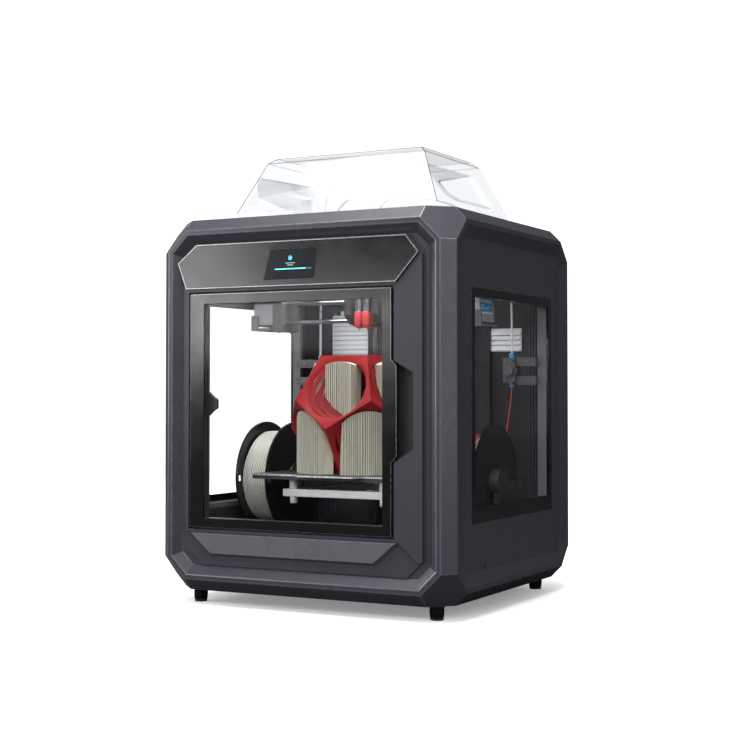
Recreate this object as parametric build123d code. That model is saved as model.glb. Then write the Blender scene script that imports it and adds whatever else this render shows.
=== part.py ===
from build123d import *
import os
from itertools import product
from math import acos, atan2, cos, degrees, hypot, pi, radians, sin, sqrt, tan

# An enclosed twin-nozzle filament printer with a lift-off clear hood and a glass front door.
# Millimetres. +Z is up, the front faces -Y, and the origin is on the floor under the middle.

# ---- driving dimensions -------------------------------------------------------------------
WIDTH = 555.0
DEPTH = 525.0
BODY_BOTTOM = 24.0
BODY_TOP = 655.0
EDGE_CUT = 20.0
CORNER_SUM = 75.0
LIP = 8.0
SLOPE_RUN = 16.0
FRONT_SLOPE_DEPTH = 12.0
SIDE_SLOPE_DEPTH = 7.0
FRAME_DEPTH = 55.0
CHAMBER_HALF_X = 250.0
CHAMBER_HALF_Y = 237.0
CHAMBER_FLOOR = 100.0
ROOF_UNDERSIDE = 643.0

DOOR = dict(left=-214.0, right=170.0, bottom=132.5, top=526.0)
DOOR_TAB = dict(reach=9.5, low=259.0, high=402.0, slope=10.0)
DOOR_FRONT = -259.0
DOOR_GLASS = 4.0
DOOR_FRAME = 5.0
DOOR_GAP = 3.5
DOOR_AXIS = (-210.0, -252.5)
MOUTH = dict(left=-187.0, right=154.0, bottom=148.0, top=510.0)
PANEL_FRONT = -257.0
PIN_R = 2.0
RUNNING_GAP = 0.05
BEARING_DEPTH = 6.0
IDLER_R = 2.5
MOTOR_SHAFT_R = 2.5
FAN_SHAFT_R = 1.5

WINDOW = dict(low_y=-173.0, high_y=177.0, bottom=149.5, top=528.5)
WINDOW_BORDER = 14.0
PANE = 4.0

HOOD_BASE = dict(x=197.5, y0=-146.0, y1=154.0, z=675.0)
HOOD_SHOULDER = dict(x=156.5, y0=-108.0, y1=119.0, z=766.0)
HOOD_TOP = dict(x=144.0, y0=-94.0, y1=107.0, z=777.0)
HOOD_WALL = 3.0
HOOD_LEDGE = 14.0

FOOT_R = 12.5
FOOT_TOE_R = 10.8
FOOT_INSET = (52.0, 54.0)

PLATE_TOP = 219.0
PLATE_HALF_X = 157.0
PLATE_FRONT = -157.0
PLATE_BACK = 103.0
Z_ROD_X = 100.0
Z_ROD_Y = 200.0
Z_ROD_R = 5.0
Z_SCREW_R = 4.0
BED_BAR = (180.0, 193.0)

NOZZLE_TIP = 470.0
NOZZLE_X = 8.0
NOZZLE_Y = -36.0
X_ROD_R = 4.0
X_ROD_Y = -20.0
X_ROD_Z = (487.0, 521.0)
X_MOTOR = dict(x0=187.3, x1=227.0, y0=-40.0, y1=21.0, z0=480.0, z1=522.0)
X_PULLEY = dict(x=207.0, z=501.0, y0=22.0, y1=32.0, r=6.4)
Y_ROD_X = 215.0
Y_ROD_Z = 545.0
Y_ROD_R = 5.0
Y_SHAFT = dict(y=212.0, z=575.0, r=4.0, x=236.0, pulley_r=8.0)

SPOOL = dict(y=8.0, z=205.0, r=100.0, bore=27.0, inner=166.0, outer=232.0, flange=3.5, wound=82.0)
FEEDER = dict(x=201.0, y=160.0, z0=377.0, z1=422.0)
TUBE_R = 2.0

PRINT_CENTRE = (-10.0, -27.0)
PRINT_INRADIUS = 104.5
PRINT_WINDOW = 1.135

HALF_W = WIDTH / 2
HALF_D = DEPTH / 2
FRONT = -HALF_D


# ---- helpers --------------------------------------------------------------------------------
def block(x0, x1, y0, y1, z0, z1):
    middle = Pos((x0 + x1) / 2, (y0 + y1) / 2, (z0 + z1) / 2)
    return middle * Box(x1 - x0, y1 - y0, z1 - z0)


def rod(axis, radius, low, high, a, b):
    """A cylinder along an axis from low to high; a and b are its other two coordinates in X, Y, Z order."""
    length = high - low
    middle = (low + high) / 2
    if axis == "x":
        return Pos(middle, a, b) * Rot(0, 90, 0) * Cylinder(radius, length)
    if axis == "y":
        return Pos(a, middle, b) * Rot(90, 0, 0) * Cylinder(radius, length)
    return Pos(a, b, middle) * Cylinder(radius, length)


def plate_y(points, y0, y1):
    """A flat plate across Y from an outline in X and Z."""
    outline = Polyline([(x, y0, z) for x, z in points], close=True)
    return extrude(make_face(outline), amount=y1 - y0, dir=(0, 1, 0))


def plate_x(points, x0, x1):
    """A flat plate across X from an outline in Y and Z."""
    outline = Polyline([(x0, y, z) for y, z in points], close=True)
    return extrude(make_face(outline), amount=x1 - x0, dir=(1, 0, 0))


def plate_z(points, z0, z1):
    """A flat plate across Z from an outline in X and Y."""
    outline = Polyline([(x, y, z0) for x, y in points], close=True)
    return extrude(make_face(outline), amount=z1 - z0, dir=(0, 0, 1))


def octagon(half, inset):
    """Corner points of a casing face: half is its half width; inset shrinks it evenly."""
    cut = CORNER_SUM - 2 * EDGE_CUT - inset * (2 - sqrt(2))
    u = half - EDGE_CUT - inset
    low = BODY_BOTTOM + EDGE_CUT + inset
    high = BODY_TOP - EDGE_CUT - inset
    right = [(u, low + cut), (u, high - cut), (u - cut, high)]
    left = [(-u + cut, high), (-u, high - cut), (-u, low + cut)]
    return [(u - cut, low)] + right + left + [(-u + cut, low)]


def taper_y(points0, y0, points1, y1):
    faces = []
    for points, y in ((points0, y0), (points1, y1)):
        faces.append(make_face(Polyline([(a, y, b) for a, b in points], close=True)))
    return loft(faces)


def taper_x(points0, x0, points1, x1):
    faces = []
    for points, x in ((points0, x0), (points1, x1)):
        faces.append(make_face(Polyline([(x, a, b) for a, b in points], close=True)))
    return loft(faces)


def rectangle(left, right, bottom, top):
    return [(left, bottom), (right, bottom), (right, top), (left, top)]


def both_sides(part):
    """The part and its mirror image across the YZ plane, as separate solids."""
    return Compound(children=[part, mirror(part, about=Plane.YZ)])


def solids_of(*parts):
    return Compound(children=list(parts))


# ---- casing ---------------------------------------------------------------------------------
def envelope():
    """The outer form: a box with every edge chamfered and a larger facet at each corner."""
    body = block(-HALF_W, HALF_W, -HALF_D, HALF_D, BODY_BOTTOM, BODY_TOP)
    body = chamfer(body.edges(), EDGE_CUT)
    middle = (BODY_BOTTOM + BODY_TOP) / 2
    rise = (BODY_TOP - BODY_BOTTOM) / 2
    third = CORNER_SUM / 3
    for sx, sy, sz in product((-1, 1), repeat=3):
        spot = (sx * (HALF_W - third), sy * (HALF_D - third), middle + sz * (rise - third))
        body = split(body, bisect_by=Plane(origin=spot, z_dir=(sx, sy, sz)), keep=Keep.BOTTOM)
    return body


def side_prism(side, grow=0.0):
    """The room that a side panel takes at the side of the casing."""
    outer = HALF_W + 1 + grow
    low, high = sorted((side * CHAMBER_HALF_X, side * outer))
    return plate_x(octagon(HALF_D, 0), low, high)


def end_frame(body, end):
    """The front (end -1) or rear (end +1) ring of the casing, with a sloped octagonal recess."""
    span = sorted((end * (HALF_D + 1), end * (HALF_D - FRAME_DEPTH)))
    ring = body & block(-HALF_W - 1, HALF_W + 1, span[0], span[1], 0, BODY_TOP + 1)
    inner = sorted((end * CHAMBER_HALF_Y, end * (HALF_D - FRAME_DEPTH - 1)))
    ring -= block(-CHAMBER_HALF_X, CHAMBER_HALF_X, inner[0], inner[1], 62, 623)
    for side in (-1, 1):
        ring -= side_prism(side)
    wide = octagon(HALF_W, LIP)
    narrow = octagon(HALF_W, LIP + SLOPE_RUN)
    face = end * HALF_D
    floor = end * (HALF_D - FRONT_SLOPE_DEPTH)
    ring -= taper_y(wide, face, narrow, floor)
    through = sorted((floor, end * (CHAMBER_HALF_Y - 1)))
    return ring - plate_y(narrow, through[0], through[1])


def top_frame(body):
    """The roof between the end frames, open under the hood."""
    reach = HALF_D - FRAME_DEPTH
    roof = body & block(-HALF_W - 1, HALF_W + 1, -reach, reach, 623, BODY_TOP + 1)
    for side in (-1, 1):
        roof -= side_prism(side)
    roof -= block(-242, 242, -reach - 1, reach + 1, 600, ROOF_UNDERSIDE)
    base = HOOD_BASE
    edge = HOOD_LEDGE
    return roof - block(-base["x"] + edge, base["x"] - edge, base["y0"] + edge, base["y1"] - edge, 600, 700)


def base_pan(body):
    """The bottom tray between the end frames, under the side panels."""
    reach = HALF_D - FRAME_DEPTH
    pan = body & block(-HALF_W - 1, HALF_W + 1, -reach, reach, 0, 62)
    for side in (-1, 1):
        pan -= side_prism(side)
    return pan - block(-CHAMBER_HALF_X + 6, CHAMBER_HALF_X - 6, -reach + 6, reach - 6, 30, 80)


def low_face(side):
    return side * CHAMBER_HALF_X


def side_panel(side):
    """An octagonal side wall with a sloped recess and a window opening with a rabbet for the pane."""
    outer = side * HALF_W
    floor = side * (HALF_W - SIDE_SLOPE_DEPTH)
    low, high = sorted((side * CHAMBER_HALF_X, outer))
    panel = plate_x(octagon(HALF_D, 0), low, high)
    panel -= taper_x(octagon(HALF_D, LIP), outer, octagon(HALF_D, LIP + SLOPE_RUN + 4), floor)
    w = WINDOW
    seat = sorted((floor, side * (HALF_W - SIDE_SLOPE_DEPTH - PANE)))
    panel -= block(seat[0], seat[1], w["low_y"], w["high_y"], w["bottom"], w["top"])
    b = WINDOW_BORDER - 2
    panel -= block(low - 1, high + 1, w["low_y"] + b, w["high_y"] - b, w["bottom"] + b, w["top"] - b)
    if side > 0:
        panel -= block(floor - 6, floor + 1, -125, -119, 74, 82)
    s = Y_SHAFT
    deep = sorted((low_face(side) - side, low_face(side) + side * BEARING_DEPTH))
    panel -= rod("x", s["r"] + RUNNING_GAP, *deep, s["y"], s["z"])
    return panel - rod("x", IDLER_R + RUNNING_GAP, *deep, -s["y"], s["z"])


def side_window():
    """One clear pane for each side wall, flush in its rabbet."""
    w = WINDOW
    back = HALF_W - SIDE_SLOPE_DEPTH - PANE
    pane = block(back, back + PANE, w["low_y"] + 0.2, w["high_y"] - 0.2, w["bottom"] + 0.2, w["top"] - 0.2)
    return both_sides(pane)


def feet():
    pads = []
    for sx, sy in product((-1, 1), repeat=2):
        spot = Pos(sx * (HALF_W - FOOT_INSET[0]), sy * (HALF_D - FOOT_INSET[1]), BODY_BOTTOM / 2)
        pads.append(spot * Rot(180, 0, 0) * Cone(FOOT_R, FOOT_TOE_R, BODY_BOTTOM))
    return solids_of(*pads)


# ---- front ----------------------------------------------------------------------------------
def control_outline():
    """The six-sided outline of the control panel, lopsided as the column beside the door needs."""
    return [(-200, 610), (-239, 580), (-222, 535), (178.5, 534.5), (219.5, 581), (197, 609)]


def inset_outline(points, inset):
    """The outline with every side moved in by the same distance; points run counter-clockwise or clockwise."""
    area = sum(a[0] * b[1] - b[0] * a[1] for a, b in zip(points, points[1:] + points[:1]))
    turn = 1 if area > 0 else -1
    lines = []
    for a, b in zip(points, points[1:] + points[:1]):
        length = hypot(b[0] - a[0], b[1] - a[1])
        nx, ny = -(b[1] - a[1]) / length * turn, (b[0] - a[0]) / length * turn
        lines.append((nx, ny, nx * a[0] + ny * a[1] + inset))
    corners = []
    for (a1, b1, c1), (a2, b2, c2) in zip(lines[-1:] + lines[:-1], lines):
        det = a1 * b2 - a2 * b1
        corners.append(((c1 * b2 - c2 * b1) / det, (a1 * c2 - a2 * c1) / det))
    return corners


def pocket_outline():
    return [(173.5, 248), (208, 271), (208, 392), (173.5, 411)]


def front_panel():
    """The inner front wall: raised columns beside the door, a lower band, a door seat and a hand pocket."""
    floor = FRONT + FRONT_SLOPE_DEPTH
    base = octagon(HALF_W, LIP + SLOPE_RUN)
    panel = plate_y(base, floor, -240)
    raised = [(-194, 69), (194, 69), (223.5, 96), (223.5, 577), (197, 609.5), (-197, 609.5), (-229, 584),
              (-223.5, 535), (-223.5, 97)]
    panel += plate_y(raised, PANEL_FRONT, floor)
    lower = [(-224, 124), (181, 124), (214, 94), (224, 94), (224, 60), (-224, 60)]
    panel -= plate_y(lower, PANEL_FRONT - 1, PANEL_FRONT + 4)
    d, gap = DOOR, DOOR_GAP
    seat = rectangle(d["left"] - gap - 1, d["right"] + gap, d["bottom"] - gap, d["top"] + gap)
    panel -= plate_y(seat, PANEL_FRONT - 1, -245)
    m = MOUTH
    panel -= plate_y(rectangle(m["left"], m["right"], m["bottom"], m["top"]), -260, -230)
    panel -= plate_y(pocket_outline(), PANEL_FRONT - 1, -243)
    for low, high in ((d["top"] + gap - 1, d["top"] + gap + 5), (d["bottom"] - gap - 5, d["bottom"] - gap + 1)):
        panel -= rod("z", PIN_R + RUNNING_GAP, low, high, *DOOR_AXIS)
    return panel


def control_panel():
    """The glossy control panel with the seat of its touch screen."""
    outline = inset_outline(control_outline(), 2.0)
    return plate_y(outline, PANEL_FRONT - 4, PANEL_FRONT) - plate_y(screen_outline(), -262, -260.4)


def screen_outline():
    return [(-53, 594), (35, 594), (30, 547), (-66, 546)]


def control_trim():
    """The thin bright rim around the control panel."""
    ring = plate_y(control_outline(), PANEL_FRONT - 4.6, PANEL_FRONT)
    return ring - plate_y(inset_outline(control_outline(), 2.0), -270, -250)


def lower_cover():
    """The long shallow cover under the door."""
    back = PANEL_FRONT + 4
    base = [(-217, 124), (-175, 86), (139, 86), (181, 124)]
    face = [(-212, 122), (-173, 89), (137, 89), (176, 122)]
    return taper_y(base, back, face, back - 6)


# ---- door -----------------------------------------------------------------------------------
def door_glass():
    d, t = DOOR, DOOR_TAB
    tab = [(d["right"], t["low"] - t["slope"]), (d["right"] + t["reach"], t["low"]),
           (d["right"] + t["reach"], t["high"]), (d["right"], t["high"] + t["slope"])]
    outline = [(d["left"], d["bottom"]), (d["right"], d["bottom"])] + tab
    outline += [(d["right"], d["top"]), (d["left"], d["top"])]
    return plate_y(outline, DOOR_FRONT, DOOR_FRONT + DOOR_GLASS)


def door_frame():
    """The dark inner frame behind the glass, with a hinge pin at its top and bottom."""
    d, m = DOOR, MOUTH
    front = DOOR_FRONT + DOOR_GLASS
    back = front + DOOR_FRAME
    low, high = d["bottom"] + 1, d["top"] - 1
    frame = plate_y(rectangle(d["left"] + 0.5, d["right"] - 1, low, high), front, back)
    frame -= plate_y(rectangle(m["left"], m["right"], m["bottom"], m["top"]), front - 1, back + 1)
    for z0, z1 in ((high - 2, high + 8), (low - 8, low + 2)):
        frame += rod("z", PIN_R, z0, z1, *DOOR_AXIS)
    return frame


def door_catch():
    """The middle stop block on the door seat, with a nose that the door's frame closes against."""
    nose = [(-187, 320), (-177, 329), (-170, 333), (-170, 348), (-177, 352), (-187, 361)]
    return plate_y(nose, -244.5, -238)


# ---- hood -----------------------------------------------------------------------------------
def hood_ring(spec, inset):
    x = spec["x"] - inset
    return [(-x, spec["y0"] + inset), (x, spec["y0"] + inset), (x, spec["y1"] - inset), (-x, spec["y1"] - inset)]


def taper_z(points0, z0, points1, z1):
    faces = []
    for points, z in ((points0, z0), (points1, z1)):
        faces.append(make_face(Polyline([(a, b, z) for a, b in points], close=True)))
    return loft(faces)


def hood_form(inset, drop):
    base, shoulder, top = HOOD_BASE, HOOD_SHOULDER, HOOD_TOP
    form = plate_z(hood_ring(base, inset), BODY_TOP - drop, base["z"])
    form += taper_z(hood_ring(base, inset), base["z"], hood_ring(shoulder, inset), shoulder["z"] - inset / 3)
    return form + taper_z(hood_ring(shoulder, inset), shoulder["z"] - inset / 3,
                          hood_ring(top, inset), top["z"] - inset)


def hood():
    """A clear tapered cover with a short skirt, standing on the roof around its opening."""
    return hood_form(0, 0) - hood_form(HOOD_WALL, 1)


# ---- rear -----------------------------------------------------------------------------------
REAR_FACE = HALF_D - FRONT_SLOPE_DEPTH
VENT = dict(x=200.0, z0=433.0, z1=522.0)
FAN = dict(x=-120.0, z=576.0, r=24.0)
INLET = dict(x=170.0, z=131.0, w=28.0, h=48.0)


def rear_panel():
    """The back wall with a louvre opening, a fan opening and the power inlet's opening."""
    panel = plate_y(octagon(HALF_W, LIP + SLOPE_RUN), CHAMBER_HALF_Y, REAR_FACE)
    v = VENT
    panel -= block(-v["x"], v["x"], 230, 270, v["z0"], v["z1"])
    panel -= rod("y", FAN["r"] + 2, 230, 270, FAN["x"], FAN["z"])
    i = INLET
    panel -= block(i["x"] - i["w"] / 2, i["x"] + i["w"] / 2, 230, 270, i["z"] - i["h"] / 2, i["z"] + i["h"] / 2)
    for side in (-1, 1):
        for n in range(5):
            x = side * (205 + 6 * n)
            panel += block(x - 1.5, x + 1.5, CHAMBER_HALF_Y - 3, CHAMBER_HALF_Y, 110, 530)
    return panel


def rear_louvre():
    """The pale vent insert: a frame with level slats, pitched to shed dust."""
    v = VENT
    rim = block(-v["x"] + 0.3, v["x"] - 0.3, 239, 247, v["z0"] + 0.3, v["z1"] - 0.3)
    rim -= block(-v["x"] + 6, v["x"] - 6, 230, 250, v["z0"] + 6, v["z1"] - 6)
    count = 5
    pitch = (v["z1"] - v["z0"] - 12) / count
    for n in range(count):
        z = v["z0"] + 6 + pitch * (n + 0.5)
        slat = Pos(0, 243, z) * Rot(62, 0, 0) * Box(2 * v["x"] - 11, pitch * 0.92, 1.6)
        rim += slat & block(-v["x"] + 1, v["x"] - 1, 239, 247, v["z0"], v["z1"])
    for x in (-98, 0, 98):
        rim += block(x - 2.5, x + 2.5, 240, 246, v["z0"] + 1, v["z1"] - 1)
    return rim


def exhaust_fan():
    """A seven-bladed fan on a short shaft."""
    y0, y1 = 241.0, 248.0
    wheel = rod("y", 8, y0, y1, FAN["x"], FAN["z"])
    wheel += rod("y", FAN_SHAFT_R, y1, REAR_FACE + 1.8, FAN["x"], FAN["z"])
    for n in range(7):
        blade = Pos(14.5, 0, 0) * Rot(38, 0, 0) * Box(16.5, 7, 1.4)
        wheel += Pos(FAN["x"], (y0 + y1) / 2, FAN["z"]) * Rot(0, n * 360 / 7, 0) * blade
    return wheel


def fan_guard():
    """A spider of arms that holds the fan's bearing, with a ring guard."""
    x, z, r = FAN["x"], FAN["z"], FAN["r"]
    guard = rod("y", r + 6, REAR_FACE, REAR_FACE + 2, x, z) - rod("y", r + 1, 230, 270, x, z)
    guard += rod("y", 7, REAR_FACE, REAR_FACE + 2, x, z)
    for radius in (r - 4, r - 12):
        guard += rod("y", radius, REAR_FACE, REAR_FACE + 2, x, z) - rod("y", radius - 1.6, 230, 270, x, z)
    for n in range(4):
        arm = Rot(0, 45 + 90 * n, 0) * Pos(r / 2 + 2, 0, 0) * Box(r - 2, 2, 2.4)
        guard += Pos(x, REAR_FACE + 1, z) * arm
    return guard - rod("y", FAN_SHAFT_R + RUNNING_GAP, 240, 260, x, z)


def power_inlet():
    """The mains inlet with its rocker's seat, filling the opening in the back wall."""
    i = INLET
    x, z, w, h = i["x"], i["z"], i["w"], i["h"]
    body = block(x - w / 2 + 0.2, x + w / 2 - 0.2, 205, REAR_FACE, z - h / 2 + 0.2, z + h / 2 - 0.2)
    body += block(x - w / 2 - 3, x + w / 2 + 3, REAR_FACE, REAR_FACE + 2.5, z - h / 2 - 3, z + h / 2 + 3)
    body -= block(x - 10, x + 10, 232, 260, z - 20, z - 3)
    for dx in (-6, 0, 6):
        body += block(x + dx - 1, x + dx + 1, 232, 248, z - 13, z - 9)
    return body - block(x - 10.5, x + 10.5, 236, 260, z + 3, z + 21)


def power_switch():
    """The rocker: a cylinder sector that tips about a level axis."""
    i = INLET
    x, z = i["x"], i["z"] + 12
    rocker = rod("x", 7.5, x - 9.5, x + 9.5, 247, z) & block(x - 10, x + 10, 240, 252.5, z - 8, z + 8)
    return rocker + block(x - 9.5, x + 9.5, 244, 252.5, z - 7.2, z + 1.5)


def casing_screws():
    """Button-head screws around the back wall."""
    spots = [(sx * 212, z) for sx in (-1, 1) for z in (110, 230, 350, 540)]
    spots += [(sx * 80, 100) for sx in (-1, 1)] + [(60, 590), (150, 590)]
    heads = []
    for x, z in spots:
        head = rod("y", 4, REAR_FACE, REAR_FACE + 2.2, x, z)
        heads.append(head - rod("y", 1.6, REAR_FACE + 1, REAR_FACE + 3, x, z))
    return solids_of(*heads)


# ---- chamber --------------------------------------------------------------------------------
def chamber_floor():
    """The floor plate over the electronics, with a hole for the Z screw and a stepped front edge."""
    plate = block(-CHAMBER_HALF_X, CHAMBER_HALF_X, -CHAMBER_HALF_Y, CHAMBER_HALF_Y, CHAMBER_FLOOR - 4, CHAMBER_FLOOR)
    plate -= rod("z", 12, 90, 105, 0, Z_ROD_Y)
    return plate


def electronics():
    """The power supply and the control board in the base."""
    supply = block(-200, -90, -100, 110, 34, 76)
    board = block(60, 200, -90, 60, 44, 46)
    for x, y, w, d, h in ((90, 30, 16, 12, 9), (120, -40, 34, 34, 8), (165, 20, 40, 14, 12), (165, -60, 24, 10, 10)):
        board += block(x - w / 2, x + w / 2, y - d / 2, y + d / 2, 46, 46 + h)
    for x, y in product((65, 195), (-85, 55)):
        board += rod("z", 3, 30, 44, x, y)
    return solids_of(supply, block(-195, -95, -90, 100, 30, 34), board)


def z_guides():
    """Two ground guide rods with their top clamps."""
    pieces = []
    for side in (-1, 1):
        guide = rod("z", Z_ROD_R, CHAMBER_FLOOR, 612, side * Z_ROD_X, Z_ROD_Y)
        clamp = block(side * Z_ROD_X - 15, side * Z_ROD_X + 15, 188, CHAMBER_HALF_Y, 598, 614)
        pieces.append(guide + clamp)
    return solids_of(*pieces)


def z_screw():
    """The lead screw with its shaft coupler."""
    screw = rod("z", Z_SCREW_R, 97, 545, 0, Z_ROD_Y)
    screw += rod("z", MOTOR_SHAFT_R, 82, 98, 0, Z_ROD_Y)
    return screw + rod("z", 9.5, 97, 120, 0, Z_ROD_Y)


def frame_motors():
    """The Z motor under the floor and the Y motor under the roof with its hanger."""
    z_motor = block(-21, 21, Z_ROD_Y - 21, Z_ROD_Y + 21, 62, 95.6)
    z_motor -= rod("z", MOTOR_SHAFT_R + RUNNING_GAP, 81, 97, 0, Z_ROD_Y)
    s = Y_SHAFT
    y_motor = block(-24, 24, s["y"] - 21, s["y"] + 21, s["z"] - 21, s["z"] + 21)
    y_motor -= rod("x", s["r"] + 0.35, -30, 30, s["y"], s["z"])
    hanger = block(-20, 20, s["y"] + 10, s["y"] + 20, s["z"] + 21, 623)
    hanger += block(-20, 20, s["y"] + 10, CHAMBER_HALF_Y, 611, 623)
    return solids_of(z_motor, y_motor + hanger)


def y_rods():
    rail = rod("y", Y_ROD_R, -240, CHAMBER_HALF_Y, Y_ROD_X, Y_ROD_Z)
    return both_sides(rail)


def belt_loop_yz(inner, outer, y, z, x0, x1):
    """A closed belt around two pulleys at +-y, lying in a plane across X."""
    def run(radius):
        return block(x0, x1, -y, y, z - radius, z + radius) + rod("x", radius, x0, x1, -y, z) + \
            rod("x", radius, x0, x1, y, z)
    return run(outer) - run(inner)


def y_belts():
    s = Y_SHAFT
    belt = belt_loop_yz(s["pulley_r"] + 0.35, s["pulley_r"] + 1.85, s["y"], s["z"], s["x"] - 3, s["x"] + 3)
    return both_sides(belt)


def y_drive_shaft():
    """The cross shaft that turns both Y belts together."""
    s = Y_SHAFT
    reach = CHAMBER_HALF_X + BEARING_DEPTH - 0.4
    shaft = rod("x", s["r"], -reach, reach, s["y"], s["z"])
    for side in (-1, 1):
        low, high = sorted((side * (s["x"] - 3.6), side * (s["x"] + 3.6)))
        shaft += rod("x", s["pulley_r"], low, high, s["y"], s["z"])
    return shaft


def y_idler(side):
    s = Y_SHAFT
    low, high = sorted((side * (s["x"] - 3.6), side * (s["x"] + 3.6)))
    wheel = rod("x", s["pulley_r"], low, high, -s["y"], s["z"])
    low, high = sorted((side * 228, side * (CHAMBER_HALF_X + BEARING_DEPTH - 0.4)))
    return wheel + rod("x", IDLER_R, low, high, -s["y"], s["z"])


# ---- gantry and head ------------------------------------------------------------------------
def y_carriages():
    """The end blocks that ride on the Y rods and hold the X rods and motors."""
    m = X_MOTOR
    top = block(168, 232, -42, 25, 524, 562)
    top -= rod("y", Y_ROD_R + RUNNING_GAP, -60, 60, Y_ROD_X, Y_ROD_Z)
    top += block(168, m["x0"] - 0.3, m["y0"], m["y1"], 470, 524)
    for z in X_ROD_Z:
        top -= rod("x", X_ROD_R, 160, 182, X_ROD_Y, z)
    top += block(m["x0"] - 0.3, 230, -44, 30, 472, 477)
    top += block(216, 230, -44, -40.3, 477, 500)
    top += block(226, 239, -12, 12, 556, Y_SHAFT["z"] - Y_SHAFT["pulley_r"] - 2.2)
    return both_sides(top)


def x_rods():
    pieces = [rod("x", X_ROD_R, -182, 182, X_ROD_Y, z) for z in X_ROD_Z]
    return solids_of(*pieces)


def x_motors():
    m = X_MOTOR
    motor = block(m["x0"], m["x1"], m["y0"], m["y1"], m["z0"], m["z1"])
    motor = chamfer(motor.edges().filter_by(Axis.Y), 4)
    p = X_PULLEY
    return both_sides(motor - rod("y", MOTOR_SHAFT_R + RUNNING_GAP, 4, 25, p["x"], p["z"]))


def x_belt():
    p = X_PULLEY
    y0, y1 = p["y0"] + 2, p["y1"] - 2

    def run(radius):
        return block(-p["x"], p["x"], y0, y1, p["z"] - radius, p["z"] + radius) + \
            rod("y", radius, y0, y1, -p["x"], p["z"]) + rod("y", radius, y0, y1, p["x"], p["z"])
    return run(p["r"] + 1.85) - run(p["r"] + 0.35)


def x_pulley(side):
    p = X_PULLEY
    wheel = rod("y", p["r"], p["y0"], p["y1"], side * p["x"], p["z"])
    for y in (p["y0"] + 0.6, p["y1"] - 0.6):
        wheel += rod("y", p["r"] + 2.2, y - 0.6, y + 0.6, side * p["x"], p["z"])
    return wheel + rod("y", MOTOR_SHAFT_R, 4.5, p["y1"] + 2, side * p["x"], p["z"])


def head_shell():
    """The print head's housing around both X rods, with a sloped chin behind the nozzles."""
    profile = [(-27, 481), (10, 476), (14, 484), (14, 548), (6, 560), (-20, 560), (-27, 551)]
    shell = plate_x(profile, -34, 34)
    for z in X_ROD_Z:
        shell -= rod("x", X_ROD_R + RUNNING_GAP, -40, 40, X_ROD_Y, z)
    cheek = plate_x([(-46, 496), (-27, 481), (-27, 530), (-46, 526)], -34, -20)
    shell += cheek
    shell += plate_x([(-46, 496), (-27, 481), (-27, 530), (-46, 526)], 22, 34)
    shell += block(-12, 12, 14, 31, 509.7, 515)
    return shell - rod("y", 17, 5, 20, 0, 535) - rod("y", FAN_SHAFT_R + RUNNING_GAP, 0, 6, 0, 535)


def hot_ends():
    """Two finned heat sinks, each with its nozzle below."""
    pieces = []
    for side in (-1, 1):
        x = side * NOZZLE_X
        sink = block(x - 2.5, x + 2.5, NOZZLE_Y - 2.5, -27, 502, 526)
        for n in range(7):
            z = 503 + 3.5 * n
            sink += block(x - 6, x + 6, NOZZLE_Y - 7, -27, z, z + 1.4)
        tip = Pos(x, NOZZLE_Y, NOZZLE_TIP + 1.5) * Cone(0.6, 2.6, 3)
        pieces.append(sink)
        pieces.append(tip)
    return solids_of(*pieces)


def silicone_socks():
    pieces = []
    for side in (-1, 1):
        x = side * NOZZLE_X
        sock = Pos(x, NOZZLE_Y, 487.5) * Box(13, 17, 29)
        sock = chamfer(sock.edges().group_by(Axis.Z)[0], 4)
        pieces.append(sock)
    return solids_of(*pieces)


def head_fan():
    wheel = rod("y", 5, 7, 12.5, 0, 535) + rod("y", FAN_SHAFT_R, 0.5, 8, 0, 535)
    for n in range(9):
        blade = Pos(9.5, 0, 0) * Rot(40, 0, 0) * Box(12, 5, 1)
        wheel += Pos(0, 9.7, 535) * Rot(0, n * 40, 0) * blade
    return wheel


# ---- bed ------------------------------------------------------------------------------------
def build_plate():
    """The removable plate with a grab tab at its front."""
    plate = block(-PLATE_HALF_X, PLATE_HALF_X, PLATE_FRONT, PLATE_BACK, PLATE_TOP - 3, PLATE_TOP)
    tab = [(-66, PLATE_FRONT), (-54, PLATE_FRONT - 18), (54, PLATE_FRONT - 18), (66, PLATE_FRONT)]
    return plate + plate_z(tab, PLATE_TOP - 3, PLATE_TOP)


def heated_bed():
    return block(-155, 155, PLATE_FRONT + 2, PLATE_BACK - 2, PLATE_TOP - 9, PLATE_TOP - 3)


def bed_frame():
    """The cast frame under the bed with its guide bearings and screw nut."""
    z0, z1 = BED_BAR
    frame = block(-104, 104, -138, -118, z0, z1)
    frame += block(-104, 104, 66, 86, z0, z1)
    for side in (-1, 1):
        frame += block(side * 88 - 9, side * 88 + 9, -138, 187, z0, z1)
        x, y = side * Z_ROD_X, Z_ROD_Y
        frame += block(x - 14, x + 14, y - 14, y + 14, 166, 214) - rod("z", Z_ROD_R + RUNNING_GAP, 150, 230, x, y)
    frame += block(-88, 88, 160, 182, z0, z1)
    frame += block(-16, 16, 182, Z_ROD_Y + 14, z0, z1)
    return frame - rod("z", Z_SCREW_R + RUNNING_GAP, 170, 220, 0, Z_ROD_Y)


def bed_spots():
    return [(sx * 88, y) for sx in (-1, 1) for y in (-128, 76)]


def bed_mounts():
    """The posts that carry the heated bed, and the screws that hold them from below."""
    pieces = []
    for x, y in bed_spots():
        pieces.append(rod("z", 7.5, BED_BAR[1], PLATE_TOP - 9, x, y))
        pieces.append(rod("z", 6.5, 168, BED_BAR[0], x, y) - rod("z", 2.5, 167, 171, x, y))
    return solids_of(*pieces)


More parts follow.
